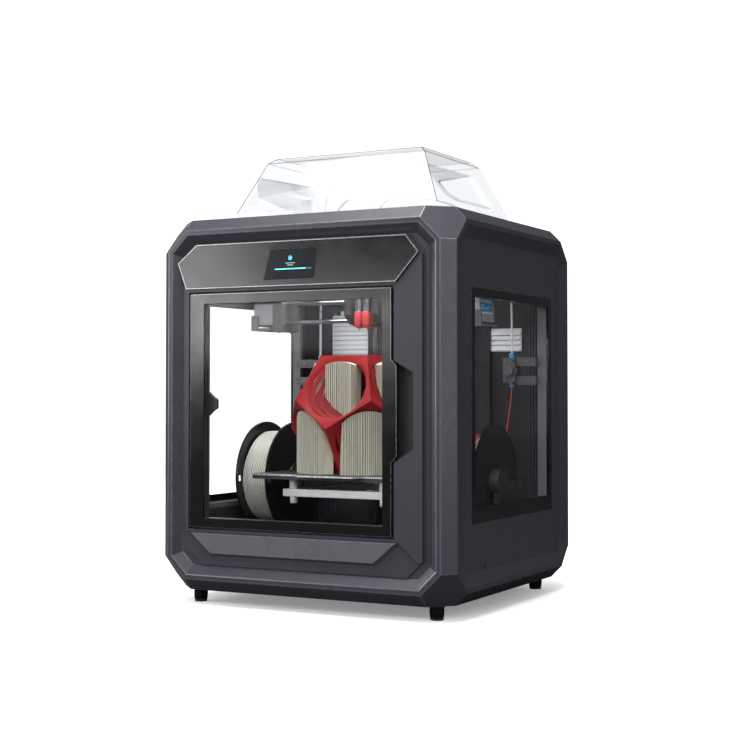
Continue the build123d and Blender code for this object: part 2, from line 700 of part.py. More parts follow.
def dodecahedron_normals():
    """Face directions of a dodecahedron that stands on a face, one upper face towards the front."""
    rise = degrees(atan2(1, 2))
    directions = [(0, 0, 1), (0, 0, -1)]
    for n in range(5):
        for lift, start in ((rise, -90), (-rise, -54)):
            a, b = radians(start + 72 * n), radians(lift)
            directions.append((cos(a) * cos(b), sin(a) * cos(b), sin(b)))
    return directions


def print_middle():
    return (PRINT_CENTRE[0], PRINT_CENTRE[1], PLATE_TOP + PRINT_INRADIUS)


def dodecahedron(inradius):
    x, y, z = print_middle()
    form = Pos(x, y, z) * Box(3 * inradius, 3 * inradius, 3 * inradius)
    for n in dodecahedron_normals():
        spot = (x + n[0] * inradius, y + n[1] * inradius, z + n[2] * inradius)
        form = split(form, bisect_by=Plane(origin=spot, z_dir=n), keep=Keep.BOTTOM)
    return form


def printed_part():
    """The sample print: an open twelve-sided cage of generic form."""
    return dodecahedron(PRINT_INRADIUS) - Pos(*print_middle()) * Sphere(PRINT_INRADIUS * PRINT_WINDOW)


def print_supports():
    """Break-away support columns: five outside under the lower faces and one group inside."""
    x, y, z = print_middle()
    pieces = []
    solid_form = dodecahedron(PRINT_INRADIUS + 0.4)
    for n in range(5):
        turn = -54 + 72 * n
        column = Pos(x, y, 0) * Rot(0, 0, turn) * block(56, 104, -29, 29, PLATE_TOP, PLATE_TOP + 62)
        pieces.append(column - solid_form)
        inner = Pos(x, y, 0) * Rot(0, 0, turn + 36) * block(46, 76, -29, 29, PLATE_TOP + 42, z + 40)
        pieces.append(inner & Pos(x, y, z) * Sphere(PRINT_INRADIUS * PRINT_WINDOW - 14))
    return solids_of(*pieces)


# ---- spools, feeders and tubes --------------------------------------------------------------
def spool(side):
    """A filament spool: two flanges on a hub, and the wound filament as a second solid."""
    s = SPOOL
    y, z, r = s["y"], s["z"], s["r"]
    x0, x1 = s["inner"], s["outer"]
    def along(radius, low, high):
        a, b = sorted((side * low, side * high))
        return rod("x", radius, a, b, y, z)
    reel = along(r, x0, x0 + s["flange"]) + along(r, x1 - s["flange"], x1) + along(35, x0, x1)
    reel -= along(s["bore"], x0 - 1, x1 + 1)
    for x in (x0, x1 - s["flange"]):
        for angle in (86, 95):
            dy, dz = 94 * cos(radians(angle)), 94 * sin(radians(angle))
            a, b = sorted((side * (x - 1), side * (x + s["flange"] + 1)))
            reel -= rod("x", 2.5, a, b, y + dy, z + dz)
    low, high = sorted((side * (x0 + s["flange"] + 0.2), side * (x1 - s["flange"] - 0.2)))
    wound = rod("x", s["wound"], low, high, y, z) - rod("x", 35.2, low - 1, high + 1, y, z)
    return solids_of(reel, wound)


def spool_holders():
    """A stand with a round arm through each spool, fixed to the floor beside the wall."""
    s = SPOOL
    y, z = s["y"], s["z"]
    leg = plate_x([(y - 30, CHAMBER_FLOOR), (y + 30, CHAMBER_FLOOR), (y + 16, z), (y - 16, z)], 238, 248)
    leg += rod("x", 24, 238, 248, y, z)
    arm = rod("x", s["bore"] - 3, 162, 248, y, z) - rod("x", s["bore"] - 6, 161, 236, y, z)
    block_box = block(238, 248, y + 16, y + 92, 160, 205)
    return both_sides(leg + arm + block_box)


def feeder_housings():
    """The two filament feeders on their wall arms."""
    f = FEEDER
    x, y = f["x"], f["y"]
    body = block(x - 13, x + 11, y - 12, y + 12, f["z0"], f["z1"])
    for z in (373, 407):
        body += block(x + 11, CHAMBER_HALF_X, y - 8, y + 8, z, z + 16)
    body -= rod("z", 1.6, 300, 500, x, y)
    body -= rod("y", MOTOR_SHAFT_R + RUNNING_GAP, y - 13, y - 3, x - 1, 399)
    body += block(x + 11.0, x + 14, y - 14, y - 8, 393, 401)
    return both_sides(body)


def tube_couplers():
    """The push-fit collars above and below each feeder."""
    f = FEEDER
    pieces = []
    for side, (z0, z1) in product((-1, 1), ((f["z1"], f["z1"] + 8), (f["z0"] - 8, f["z0"]))):
        ring = rod("z", 5.2, z0, z1, side * f["x"], f["y"]) - rod("z", 2.3, z0 - 1, z1 + 1, side * f["x"], f["y"])
        pieces.append(ring)
    return solids_of(*pieces)


def feeder_gear(side):
    f = FEEDER
    x, y = side * (f["x"] - 1), f["y"] - 12
    gear = rod("y", 9.5, y - 5.5, y - 0.4, x, 399)
    for n in range(12):
        gear -= Pos(x, y - 3, 399) * Rot(0, 30 * n, 0) * Pos(9.8, 0, 0) * Box(1.8, 8, 1.6)
    return gear + rod("y", MOTOR_SHAFT_R, y - 5, y + 8.5, x, 399)


def strand_points(side):
    """The free filament from the wound layer's rear up to the feeder."""
    s, f = SPOOL, FEEDER
    top = f["z0"] - 8.2
    away = hypot(f["y"] - s["y"], top - s["z"])
    lead = atan2(top - s["z"], f["y"] - s["y"])
    radius = s["wound"] + 1.6
    angle = lead - acos(radius / away)
    start = (side * f["x"], s["y"] + radius * cos(angle), s["z"] + radius * sin(angle))
    return start, (side * f["x"], f["y"], top)


def filament_strands():
    pieces = []
    for side in (-1, 1):
        start, end = strand_points(side)
        path = Line(start, end)
        section = Plane(origin=start, z_dir=path % 0) * Circle(0.9)
        pieces.append(sweep(section, path=path))
    return solids_of(*pieces)


REAR_SPAN = [(201, 160, 424), (201, 160, 490), (201, 160, 555), (192, 152, 612), (168, 128, 662), (130, 92, 696),
             (88, 46, 710), (44, -6, 708)]
FRONT_SPAN = [(43.5, -6.5, 708), (24, -23, 700), (11, -32, 676), (8, -34, 640), (8, -34, 600), (8, -34, 561)]


def tube(points, side):
    """A tube along straight runs joined by tangent arcs."""
    spots = [Vector(side * x, y, z) for x, y, z in points]
    radii = []
    for a, b, c in zip(spots, spots[1:], spots[2:]):
        turn = radians((b - a).get_angle(c - b))
        shorter = min((b - a).length, (c - b).length)
        radii.append(0.45 * shorter / tan(turn / 2) if turn > 0.01 else 0)
    bends = [n for n, radius in enumerate(radii) if radius > 0]
    kept = [spots[0]] + [spots[n + 1] for n in bends] + [spots[-1]]
    path = FilletPolyline(*kept, radius=[radii[n] for n in bends])
    section = Plane(origin=spots[0], z_dir=path % 0) * Circle(TUBE_R)
    return sweep(section, path=path)


def tube_spans(points):
    return solids_of(tube(points, -1), tube(points, 1))


# ---- build ----------------------------------------------------------------------------------
def build():
    body = envelope()
    return {
        "front_frame": end_frame(body, -1),
        "rear_frame": end_frame(body, 1),
        "top_frame": top_frame(body),
        "base_pan": base_pan(body),
        "side_panel_left": side_panel(-1),
        "side_panel_right": side_panel(1),
        "side_windows": side_window(),
        "front_panel": front_panel(),
        "control_panel_glass": control_panel(),
        "control_panel_trim": control_trim(),
        "touchscreen": plate_y(inset_outline(screen_outline(), 0.2), -261.2, -260.4),
        "lower_front_cover": lower_cover(),
        "door_glass": door_glass(),
        "door_frame": door_frame(),
        "door_catch": door_catch(),
        "hood": hood(),
        "feet": feet(),
        "rear_panel": rear_panel(),
        "rear_vent_louvre": rear_louvre(),
        "exhaust_fan": exhaust_fan(),
        "fan_guard": fan_guard(),
        "power_inlet": power_inlet(),
        "power_switch": power_switch(),
        "casing_screws": casing_screws(),
        "chamber_floor": chamber_floor(),
        "electronics": electronics(),
        "z_guide_rods": z_guides(),
        "z_screw": z_screw(),
        "frame_motors": frame_motors(),
        "y_rods": y_rods(),
        "y_belts": y_belts(),
        "y_drive_shaft": y_drive_shaft(),
        "y_idler_left": y_idler(-1),
        "y_idler_right": y_idler(1),
        "y_carriages": y_carriages(),
        "x_rods": x_rods(),
        "x_motors": x_motors(),
        "x_belt": x_belt(),
        "x_pulley_left": x_pulley(-1),
        "x_pulley_right": x_pulley(1),
        "head_shell": head_shell(),
        "hot_ends": hot_ends(),
        "silicone_socks": silicone_socks(),
        "head_fan": head_fan(),
        "build_plate": build_plate(),
        "heated_bed": heated_bed(),
        "bed_frame": bed_frame(),
        "bed_mounts": bed_mounts(),
        "printed_part": printed_part(),
        "print_supports": print_supports(),
        "spool_left": spool(-1),
        "spool_right": spool(1),
        "spool_holders": spool_holders(),
        "feeder_housings": feeder_housings(),
        "tube_couplers": tube_couplers(),
        "feeder_gear_left": feeder_gear(-1),
        "feeder_gear_right": feeder_gear(1),
        "filament_strands": filament_strands(),
        "tube_rear_spans": tube_spans(REAR_SPAN),
        "tube_front_spans": tube_spans(FRONT_SPAN),
    }


os.makedirs("parts", exist_ok=True)
for node, shape in build().items():
    export_step(shape, f"parts/{node}.step")
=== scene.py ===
"""The finished look of an enclosed filament printer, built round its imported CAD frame.

Lengths are in millimetres in the settings and the builders; a piece is scaled to metres when it is made.
"""

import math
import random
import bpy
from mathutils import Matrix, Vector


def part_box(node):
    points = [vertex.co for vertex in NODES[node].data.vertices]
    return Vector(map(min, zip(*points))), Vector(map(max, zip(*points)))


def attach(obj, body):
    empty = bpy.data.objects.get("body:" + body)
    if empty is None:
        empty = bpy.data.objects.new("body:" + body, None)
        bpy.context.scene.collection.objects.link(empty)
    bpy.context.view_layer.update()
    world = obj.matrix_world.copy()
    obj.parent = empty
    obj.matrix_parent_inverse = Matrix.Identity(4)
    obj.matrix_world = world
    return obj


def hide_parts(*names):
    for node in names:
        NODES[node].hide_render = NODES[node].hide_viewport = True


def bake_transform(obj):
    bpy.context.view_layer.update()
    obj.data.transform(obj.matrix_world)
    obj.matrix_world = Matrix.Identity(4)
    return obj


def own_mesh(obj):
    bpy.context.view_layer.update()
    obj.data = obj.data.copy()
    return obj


bl_info = {
    "name": "Enclosed Filament Printer",
    "version": (1, 0, 0),
    "blender": (4, 5, 0),
    "location": "View3D > Sidebar > Printer",
    "description": "Builds the casing, door, hood, motion parts, spools and sample print",
    "category": "Object",
}

import bmesh
import bpy
from bpy.props import FloatProperty, FloatVectorProperty, IntProperty, PointerProperty
from mathutils import Matrix, Vector
from mathutils.geometry import tessellate_polygon

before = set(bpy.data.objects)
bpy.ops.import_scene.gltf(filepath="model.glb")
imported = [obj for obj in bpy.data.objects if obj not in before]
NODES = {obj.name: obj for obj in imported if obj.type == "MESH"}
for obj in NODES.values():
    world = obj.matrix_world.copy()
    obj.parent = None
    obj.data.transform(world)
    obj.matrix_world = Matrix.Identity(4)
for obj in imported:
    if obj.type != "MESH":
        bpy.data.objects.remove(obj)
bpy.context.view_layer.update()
MM = 0.001
SIDES = (-1, 1)
UP = Vector((0, 0, 1))


def corners(node):
    """A CAD node's lowest and highest corner, in millimetres."""
    low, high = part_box(node)
    return low / MM, high / MM


def colour_setting(name, description, default):
    return FloatVectorProperty(name=name, description=description, default=default, subtype="COLOR",
                               size=3, min=0.0, max=1.0)


def length_setting(name, description, default):
    return FloatProperty(name=name, description=description, default=default, min=0.0, soft_max=500.0)


# ---- settings -------------------------------------------------------------------------------
class CasingSettings(bpy.types.PropertyGroup):
    shell: colour_setting("Shell", "Moulded slate-grey casing", (0.036, 0.037, 0.046))
    # The lower cover's lighter colour is painted light, standing in for the overhead light on its
    # upward-facing front.
    cover: colour_setting("Lower cover", "Lighter strip below the door", (0.088, 0.089, 0.101))
    liner: colour_setting("Liner", "Dark chamber walls and floor", (0.020, 0.020, 0.021))
    jamb: colour_setting("Window jamb", "Pale lining of the window openings", (0.12, 0.12, 0.125))
    louvre: colour_setting("Louvre", "Pale rear vent", (0.80, 0.82, 0.84))
    edge_round: length_setting("Edge round (mm)", "Rounding of the casing's edges", 1.4)


class PanelSettings(bpy.types.PropertyGroup):
    gloss: colour_setting("Gloss black", "Control panel and glass borders", (0.0012, 0.0012, 0.0016))
    trim: colour_setting("Bright trim", "Rim of the control panel and the door", (0.24, 0.243, 0.25))
    screen: colour_setting("Screen", "Display background", (0.008, 0.010, 0.013))
    progress: colour_setting("Progress bar", "Lit bar on the display", (0.09, 0.66, 0.84))


class GlassSettings(bpy.types.PropertyGroup):
    door_tint: colour_setting("Door glass", "Tint of the door's pane", (0.975, 0.98, 0.98))
    side_tint: colour_setting("Side glass", "Tint of the side panes", (0.955, 0.96, 0.965))
    hood_tint: colour_setting("Hood", "Tint of the clear cover", (0.955, 0.960, 0.965))
    corner: length_setting("Corner (mm)", "Radius of the door glass's corners", 3.0)
    side_border: length_setting("Side border (mm)", "Printed border of a side pane", 14.0)
    side_base: length_setting("Side base (mm)", "Printed border at a side pane's bottom", 26.0)


class HoodSettings(bpy.types.PropertyGroup):
    wall: length_setting("Wall (mm)", "Thickness of the clear cover", 2.6)
    edge_round: length_setting("Edge round (mm)", "Rounding of the cover's edges", 4.0)
    grip_depth: length_setting("Grip depth (mm)", "Depth of the side grips", 9.0)


class MotionSettings(bpy.types.PropertyGroup):
    rod: colour_setting("Rods", "Ground steel", (0.62, 0.63, 0.65))
    cover: colour_setting("Motor covers", "Light covers of the X motors", (0.38, 0.38, 0.39))
    carriage: colour_setting("Carriages", "Dark moulded carriages and feeders", (0.030, 0.030, 0.033))
    sock: colour_setting("Silicone socks", "Red heater socks", (0.62, 0.055, 0.06))
    label: colour_setting("Label band", "Coloured band on the motor's sticker", (0.015, 0.42, 0.85))
    collar: colour_setting("Collars", "Push-fit collars", (0.02, 0.30, 0.66))
    thread_pitch: length_setting("Thread pitch (mm)", "Lead screw thread spacing", 4.0)


class BedSettings(bpy.types.PropertyGroup):
    coating: colour_setting("Plate coating", "Dark textured plate", (0.045, 0.045, 0.048))
    metal: colour_setting("Bed metal", "Cast frame and plate edge", (0.92, 0.92, 0.93))


class PrintSettings(bpy.types.PropertyGroup):
    plastic: colour_setting("Print", "Red plastic of the sample print", (0.40, 0.021, 0.025))
    support: colour_setting("Supports", "Cream support plastic", (0.72, 0.69, 0.565))
    centre_x: length_setting("Centre X (mm)", "Middle of the print", -10.0)
    centre_y: length_setting("Centre Y (mm)", "Middle of the print", -27.0)
    inradius: length_setting("Inradius (mm)", "From the print's middle to a face", 102.6)
    window: FloatProperty(name="Window", description="Window radius as a share of the inradius",
                          default=0.572)
    wall: length_setting("Wall (mm)", "Depth of a window's rim", 8.0)
    nested: IntProperty(name="Nested cages", description="Smaller cages inside the first", default=6)


class SpoolSettings(bpy.types.PropertyGroup):
    flange: colour_setting("Flanges", "Black spool", (0.012, 0.012, 0.013))
    left: colour_setting("Left filament", "Cream filament", (0.86, 0.84, 0.75))
    right: colour_setting("Right filament", "Red filament", (0.56, 0.03, 0.035))
    pitch: length_setting("Winding pitch (mm)", "Spacing of the visible turns", 3.6)


class StageSettings(bpy.types.PropertyGroup):
    floor: colour_setting("Floor", "Pale studio floor", (0.90, 0.90, 0.905))
    ambient: FloatProperty(name="Ambient", description="Light from all round", default=0.22, min=0.0)
    mirrored: FloatProperty(name="Mirrored", description="Brightness of the surround in reflections",
                            default=0.11, min=0.0)
    yaw: FloatProperty(name="Yaw", description="Camera turned left of +Y, in degrees", default=28.11)
    pitch: FloatProperty(name="Pitch", description="Camera tilted up, in degrees", default=1.72)
    lens: FloatProperty(name="Lens (mm)", description="Focal length on a 36 mm sensor", default=70.55)


GROUPS = {
    "printer_casing": CasingSettings,
    "printer_panel": PanelSettings,
    "printer_glass": GlassSettings,
    "printer_hood": HoodSettings,
    "printer_motion": MotionSettings,
    "printer_bed": BedSettings,
    "printer_print": PrintSettings,
    "printer_spool": SpoolSettings,
    "printer_stage": StageSettings,
}


def settings(name):
    return getattr(bpy.context.scene, "printer_" + name)


# ---- finishes -------------------------------------------------------------------------------
FINISHES = {}
WAVE_PER_LAYER = 0.314  # wave texture scale that gives one band to a metre
FILM_SMEAR = 0.05
FILM_FALLOFF = 3.5


class Recipe:
    """A node tree in the making."""

    def __init__(self, name):
        self.material = FINISHES[name] = bpy.data.materials.new(name)
        self.material.use_nodes = True
        self.tree = self.material.node_tree
        self.tree.nodes.clear()
        self.output = self.node("ShaderNodeOutputMaterial")
        self.place = self.node("ShaderNodeTexCoord").outputs["Object"]

    def node(self, kind, **values):
        made = self.tree.nodes.new(kind)
        for key, value in values.items():
            setattr(made, key, value)
        return made

    def link(self, source, target):
        self.tree.links.new(source, target)

    def noise(self, size_mm, detail=3.0, stretch=(1, 1, 1)):
        """Noise whose features are about size_mm across, drawn out along an axis where stretch is small."""
        scale = self.node("ShaderNodeVectorMath", operation="MULTIPLY")
        scale.inputs[1].default_value = [s / (size_mm * MM) for s in stretch]
        self.link(self.place, scale.inputs[0])
        made = self.node("ShaderNodeTexNoise")
        made.inputs["Scale"].default_value = 1.0
        made.inputs["Detail"].default_value = detail
        self.link(scale.outputs[0], made.inputs["Vector"])
        return made.outputs["Fac"]

    def spread(self, source, low, high):
        """A noise's middle range drawn out from low to high."""
        made = self.node("ShaderNodeMapRange")
        made.inputs["From Min"].default_value = 0.3
        made.inputs["From Max"].default_value = 0.7
        made.inputs["To Min"].default_value = low
        made.inputs["To Max"].default_value = high
        self.link(source, made.inputs["Value"])
        return made.outputs["Result"]

    def blend(self, share, first, second):
        """Two colours, or sockets that give colours, mixed by a share."""
        made = self.node("ShaderNodeMix", data_type="RGBA")
        colours = [s for s in made.inputs if s.type == "RGBA"]
        for socket, value in zip(colours, (first, second)):
            if isinstance(value, (tuple, list)):
                socket.default_value = value
            else:
                self.link(value, socket)
        self.link(share, made.inputs["Factor"])
        return [s for s in made.outputs if s.type == "RGBA"][0]

    def bump(self, height, depth_mm, below=None):
        made = self.node("ShaderNodeBump")
        made.inputs["Strength"].default_value = 1.0
        made.inputs["Distance"].default_value = depth_mm * MM
        self.link(height, made.inputs["Height"])
        if below is not None:
            self.link(below, made.inputs["Normal"])
        return made.outputs["Normal"]


def tone(colour, factor):
    return tuple(min(1.0, c * factor) for c in colour) + (1.0,)


def finish(name, colour, rough=0.45, metal=0.0, coat=0.0, mottle=0.10, patch=28.0, grain=0.0,
           grain_size=0.7, rough_spread=0.08, stretch=(1, 1, 1), layers=0.0, specular=0.5, alpha=1.0):
    """A solid finish: two tones in soft patches, uneven gloss, and a fine grain or printed layers."""
    if name in FINISHES:
        return FINISHES[name]
    r = Recipe(name)
    shader = r.node("ShaderNodeBsdfPrincipled")
    shader.inputs["Metallic"].default_value = metal
    shader.inputs["Coat Weight"].default_value = coat
    shader.inputs["Coat Roughness"].default_value = 0.06
    shader.inputs["Specular IOR Level"].default_value = specular
    shader.inputs["Alpha"].default_value = alpha
    broad = r.noise(patch, 4.0, stretch)
    r.link(r.blend(r.spread(broad, 0, 1), tone(colour, 1 - mottle), tone(colour, 1 + mottle)),
           shader.inputs["Base Color"])
    r.link(r.spread(r.noise(patch * 0.35, 5.0, stretch), max(0.02, rough - rough_spread),
                    rough + rough_spread), shader.inputs["Roughness"])
    normal = None
    if grain:
        normal = r.bump(r.noise(grain_size, 2.0, stretch), grain)
    if layers:
        wave = r.node("ShaderNodeTexWave", wave_type="BANDS", bands_direction="Z")
        wave.inputs["Scale"].default_value = WAVE_PER_LAYER / (layers * MM)
        wave.inputs["Distortion"].default_value = 0.25
        r.link(r.place, wave.inputs["Vector"])
        normal = r.bump(wave.outputs["Fac"], 0.06, normal)
    if normal is not None:
        r.link(normal, shader.inputs["Normal"])
    r.link(shader.outputs[0], r.output.inputs["Surface"])
    return r.material


def clear_finish(name, tint, film, edge=0.35, rough=0.02):
    """Thin clear sheet: what is behind shows through, under a glossy film that grows at grazing angles."""
    if name in FINISHES:
        return FINISHES[name]
    r = Recipe(name)
    through = r.node("ShaderNodeBsdfTransparent")
    through.inputs["Color"].default_value = tuple(tint) + (1.0,)
    shine = r.node("ShaderNodeBsdfPrincipled")
    shine.inputs["Base Color"].default_value = (0.85, 0.87, 0.90, 1.0)
    shine.inputs["Metallic"].default_value = 1.0
    r.link(r.spread(r.noise(60.0, 3.0), rough, rough + FILM_SMEAR), shine.inputs["Roughness"])
    facing = r.node("ShaderNodeLayerWeight")
    facing.inputs["Blend"].default_value = 0.5
    curve = r.node("ShaderNodeMath", operation="POWER")
    r.link(facing.outputs["Facing"], curve.inputs[0])
    curve.inputs[1].default_value = FILM_FALLOFF
    share = r.node("ShaderNodeMath", operation="MULTIPLY_ADD", use_clamp=True)
    r.link(curve.outputs[0], share.inputs[0])
    share.inputs[1].default_value = edge
    share.inputs[2].default_value = film
    mixed = r.node("ShaderNodeMixShader")
    r.link(share.outputs[0], mixed.inputs["Fac"])
    r.link(through.outputs[0], mixed.inputs[1])
    r.link(shine.outputs[0], mixed.inputs[2])
    r.link(mixed.outputs[0], r.output.inputs["Surface"])
    return r.material


def lit_finish(name, colour, strength):
    """A part of the display that gives its own light, a little uneven from the panel behind it."""
    r = Recipe(name)
    shader = r.node("ShaderNodeBsdfPrincipled")
    shader.inputs["Roughness"].default_value = 0.2
    shade = r.blend(r.spread(r.noise(6.0, 2.0), 0, 1), tone(colour, 0.9), tone(colour, 1.08))
    r.link(shade, shader.inputs["Base Color"])
    r.link(shade, shader.inputs["Emission Color"])
    shader.inputs["Emission Strength"].default_value = strength
    r.link(shader.outputs[0], r.output.inputs["Surface"])
    return r.material


def shell_finish():
    return finish("moulded_slate", settings("casing").shell, rough=0.36, mottle=0.04, patch=60, grain=0.03,
                  grain_size=0.8, rough_spread=0.04, specular=0.32)


def liner_finish():
    return finish("chamber_liner", settings("casing").liner, rough=0.55, mottle=0.15, patch=45, grain=0.05)


def louvre_finish():
    return finish("louvre_white", settings("casing").louvre, rough=0.4, mottle=0.04, patch=40, grain=0.02)


def gloss_finish():
    return finish("gloss_panel_black", settings("panel").gloss, rough=0.18, mottle=0.2, patch=90,
                  rough_spread=0.03)


def trim_finish():
    return finish("satin_trim", settings("panel").trim, rough=0.30, metal=1.0, mottle=0.05, patch=12)


def steel_finish():
    return finish("polished_steel", settings("motion").rod, rough=0.17, metal=1.0, mottle=0.06, patch=9,
                  grain=0.004, grain_size=0.35)


def carriage_finish():
    return finish("moulded_black", settings("motion").carriage, rough=0.42, mottle=0.14, patch=20, grain=0.04)


def bed_metal_finish():
    return finish("cast_metal", settings("bed").metal, rough=0.34, metal=0.3, mottle=0.05, patch=14,
                  grain=0.03)


def screw_finish():
    return finish("socket_screws", (0.16, 0.16, 0.17), rough=0.3, metal=1.0, mottle=0.2, patch=3)


def brass_finish():
    return finish("nozzle_brass", (0.63, 0.44, 0.16), rough=0.28, metal=1.0, mottle=0.1, patch=2)


def collar_finish():
    return finish("collar_blue", settings("motion").collar, rough=0.25, coat=0.3, mottle=0.08, patch=6)


# ---- building blocks ------------------------------------------------------------------------
def spot(axis, a, b, along):
    """A point from its two coordinates across an axis, in X, Y, Z order, and the one along it."""
    return {"x": (along, a, b), "y": (a, along, b), "z": (a, b, along)}[axis]


def circle(radius, steps, centre=(0.0, 0.0), turn=0.0):
    angles = [turn + 2 * math.pi * n / steps for n in range(steps)]
    return [(centre[0] + radius * math.cos(t), centre[1] + radius * math.sin(t)) for t in angles]


def rectangle(a0, a1, b0, b1):
    return [(a0, b0), (a1, b0), (a1, b1), (a0, b1)]


def rounded(points, radius, steps=6):
    """The outline with every corner rounded."""
    out = []
    count = len(points)
    for n in range(count):
        before, here, after = (Vector(points[(n + k) % count]) for k in (-1, 0, 1))
        one, two = (before - here), (after - here)
        half = one.angle(two) / 2
        back = min(radius / math.tan(half), one.length * 0.45, two.length * 0.45)
        start, end = here + one.normalized() * back, here + two.normalized() * back
        for k in range(steps + 1):
            t = k / steps
            out.append(tuple(start * (1 - t) ** 2 + here * 2 * t * (1 - t) + end * t * t))
    return out


def oblong(a0, a1, b0, b1, radius, steps=6):
    return rounded(rectangle(a0, a1, b0, b1), radius, steps)


class Form:
    """The points and faces of one piece, in millimetres, with the number of its finish for each face."""

    def __init__(self):
        self.points, self.faces, self.finish_of = [], [], []

    def add(self, points, faces, finish_number=0):
        base = len(self.points)
        self.points += [tuple(p) for p in points]
        self.faces += [tuple(base + n for n in face) for face in faces]
        self.finish_of += [finish_number] * len(faces)
        return self

    def loft(self, rings, finish_number=0, caps=True, closed=False):
        """Skin over rings of equally many points; closed joins the last ring to the first."""
        size, count = len(rings[0]), len(rings)
        faces = []
        for r in range(count if closed else count - 1):
            after = (r + 1) % count
            for n in range(size):
                m = (n + 1) % size
                faces.append((r * size + n, r * size + m, after * size + m, after * size + n))
        if caps and not closed:
            faces.append(tuple(reversed(range(size))))
            faces.append(tuple((count - 1) * size + n for n in range(size)))
        return self.add([p for ring in rings for p in ring], faces, finish_number)

    def prism(self, outline, axis, low, high, holes=(), finish_number=0):
        """A plate across an axis, from an outline and any holes in it."""
        if not holes:
            rings = [[spot(axis, a, b, t) for a, b in outline] for t in (low, high)]
            return self.loft(rings, finish_number)
        loops = [list(outline)] + [list(h) for h in holes]
        flat = [p for loop in loops for p in loop]
        triangles = tessellate_polygon([[Vector((a, b, 0)) for a, b in loop] for loop in loops])
        count = len(flat)
        faces = [tuple(t) for t in triangles] + [tuple(count + n for n in reversed(t)) for t in triangles]
        start = 0
        for loop in loops:
            for n in range(len(loop)):
                m = (n + 1) % len(loop)
                faces.append((start + n, start + m, count + start + m, count + start + n))
            start += len(loop)
        points = [spot(axis, a, b, t) for t in (low, high) for a, b in flat]
        return self.add(points, faces, finish_number)

    def block(self, x0, x1, y0, y1, z0, z1):
        return self.prism(rectangle(x0, x1, y0, y1), "z", z0, z1)

    def turned(self, axis, centre, profile, steps=32, finish_number=0, closed=False):
        """A turned part: profile gives (along, radius) pairs; closed profiles make rings and tubes."""
        rings = []
        for along, radius in profile:
            ring = circle(max(radius, 0.01), steps, centre)
            rings.append([spot(axis, a, b, along) for a, b in ring])
        return self.loft(rings, finish_number, closed=closed)

    def rod(self, axis, centre, radius, low, high, steps):
        return self.turned(axis, centre, [(low, radius), (high, radius)], steps)

    def pipe(self, axis, centre, outer, inner, low, high, steps):
        profile = [(low, outer), (high, outer), (high, inner), (low, inner)]
        return self.turned(axis, centre, profile, steps, closed=True)

    def moved(self, matrix, since=0):
        """Moves the points added from number since on."""
        self.points[since:] = [tuple(matrix @ Vector(p)) for p in self.points[since:]]
        return self

    def piece(self, name, body, finishes, replaced=(), slot=None, bevel=0.0, crease=32.0, weld=False):
        """Makes the mesh, in metres, hangs it under the body it moves with, and hides the CAD parts it
        replaces.
        """
        mesh = bpy.data.meshes.new(name)
        mesh.from_pydata([Vector(p) * MM for p in self.points], [], self.faces)
        work = bmesh.new()
        work.from_mesh(mesh)
        for face, number in zip(work.faces, self.finish_of):
            face.material_index = number
        if weld:
            bmesh.ops.remove_doubles(work, verts=work.verts, dist=0.02 * MM)
        bmesh.ops.recalc_face_normals(work, faces=work.faces)
        for face in work.faces:
            face.smooth = True
        for edge in work.edges:
            if len(edge.link_faces) == 2 and edge.calc_face_angle() > math.radians(crease):
                edge.smooth = False
        work.to_mesh(mesh)
        work.free()
        for material in finishes:
            mesh.materials.append(material)
        made = bpy.data.objects.new(name, mesh)
        bpy.context.scene.collection.objects.link(made)
        if bevel:
            round_edges(made, bevel)
        if body:
            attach(made, body)
        if replaced:
            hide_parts(*replaced)
        return made


def round_edges(piece, width_mm, segments=2, angle=34.0):
    rounding = piece.modifiers.new("rounded_edges", "BEVEL")
    rounding.width = width_mm * MM
    rounding.segments = segments
    rounding.limit_method = "ANGLE"
    rounding.angle_limit = math.radians(angle)
    rounding.harden_normals = True
    return rounding


def dress(node, material, edge_round=0.0, segments=2, highlight_finish=None):
    """A CAD node keeps its shape, takes a finish, and gets rounded edges; an edge finish, if given, goes on
    the rounded edges as a painted highlight.
    """
    piece = NODES[node]
    piece.data.materials.clear()
    piece.data.materials.append(material)
    if edge_round:
        welded = piece.modifiers.new("joined_faces", "WELD")
        welded.merge_threshold = 0.004 * MM
        rounding = round_edges(piece, edge_round, segments)
        if highlight_finish:
            piece.data.materials.append(highlight_finish)
            rounding.material = 1


def along_curve(name, points, radius, steps=12):
    """A round strand along a smooth curve through a few points, as a mesh."""
    curve = bpy.data.curves.new(name + "_line", "CURVE")
    curve.dimensions = "3D"
    curve.bevel_depth = radius * MM
    curve.bevel_resolution = steps // 4
    curve.resolution_u = 10
    curve.use_fill_caps = True
    line = curve.splines.new("NURBS")
    line.points.add(len(points) - 1)
    for dot, p in zip(line.points, points):
        dot.co = (p[0] * MM, p[1] * MM, p[2] * MM, 1.0)
    line.order_u = 4
    line.use_endpoint_u = True
    holder = bpy.data.objects.new(name + "_line", curve)
    bpy.context.scene.collection.objects.link(holder)
    bpy.context.view_layer.update()
    mesh = bpy.data.meshes.new_from_object(holder.evaluated_get(bpy.context.evaluated_depsgraph_get()))
    bpy.data.objects.remove(holder)
    mesh.name = name
    made = bpy.data.objects.new(name, mesh)
    bpy.context.scene.collection.objects.link(made)
    for face in mesh.polygons:
        face.use_smooth = True
    return made


def bar(form, start, end, radius):
    """A thin straight bar between two points."""
    ahead = (end - start).normalized()
    side = ahead.cross(UP if abs(ahead.z) < 0.9 else Vector((1, 0, 0))).normalized()
    up = side.cross(ahead)
    form.loft([[p + side * a + up * b for a, b in circle(radius, 8)] for p in (start, end)])


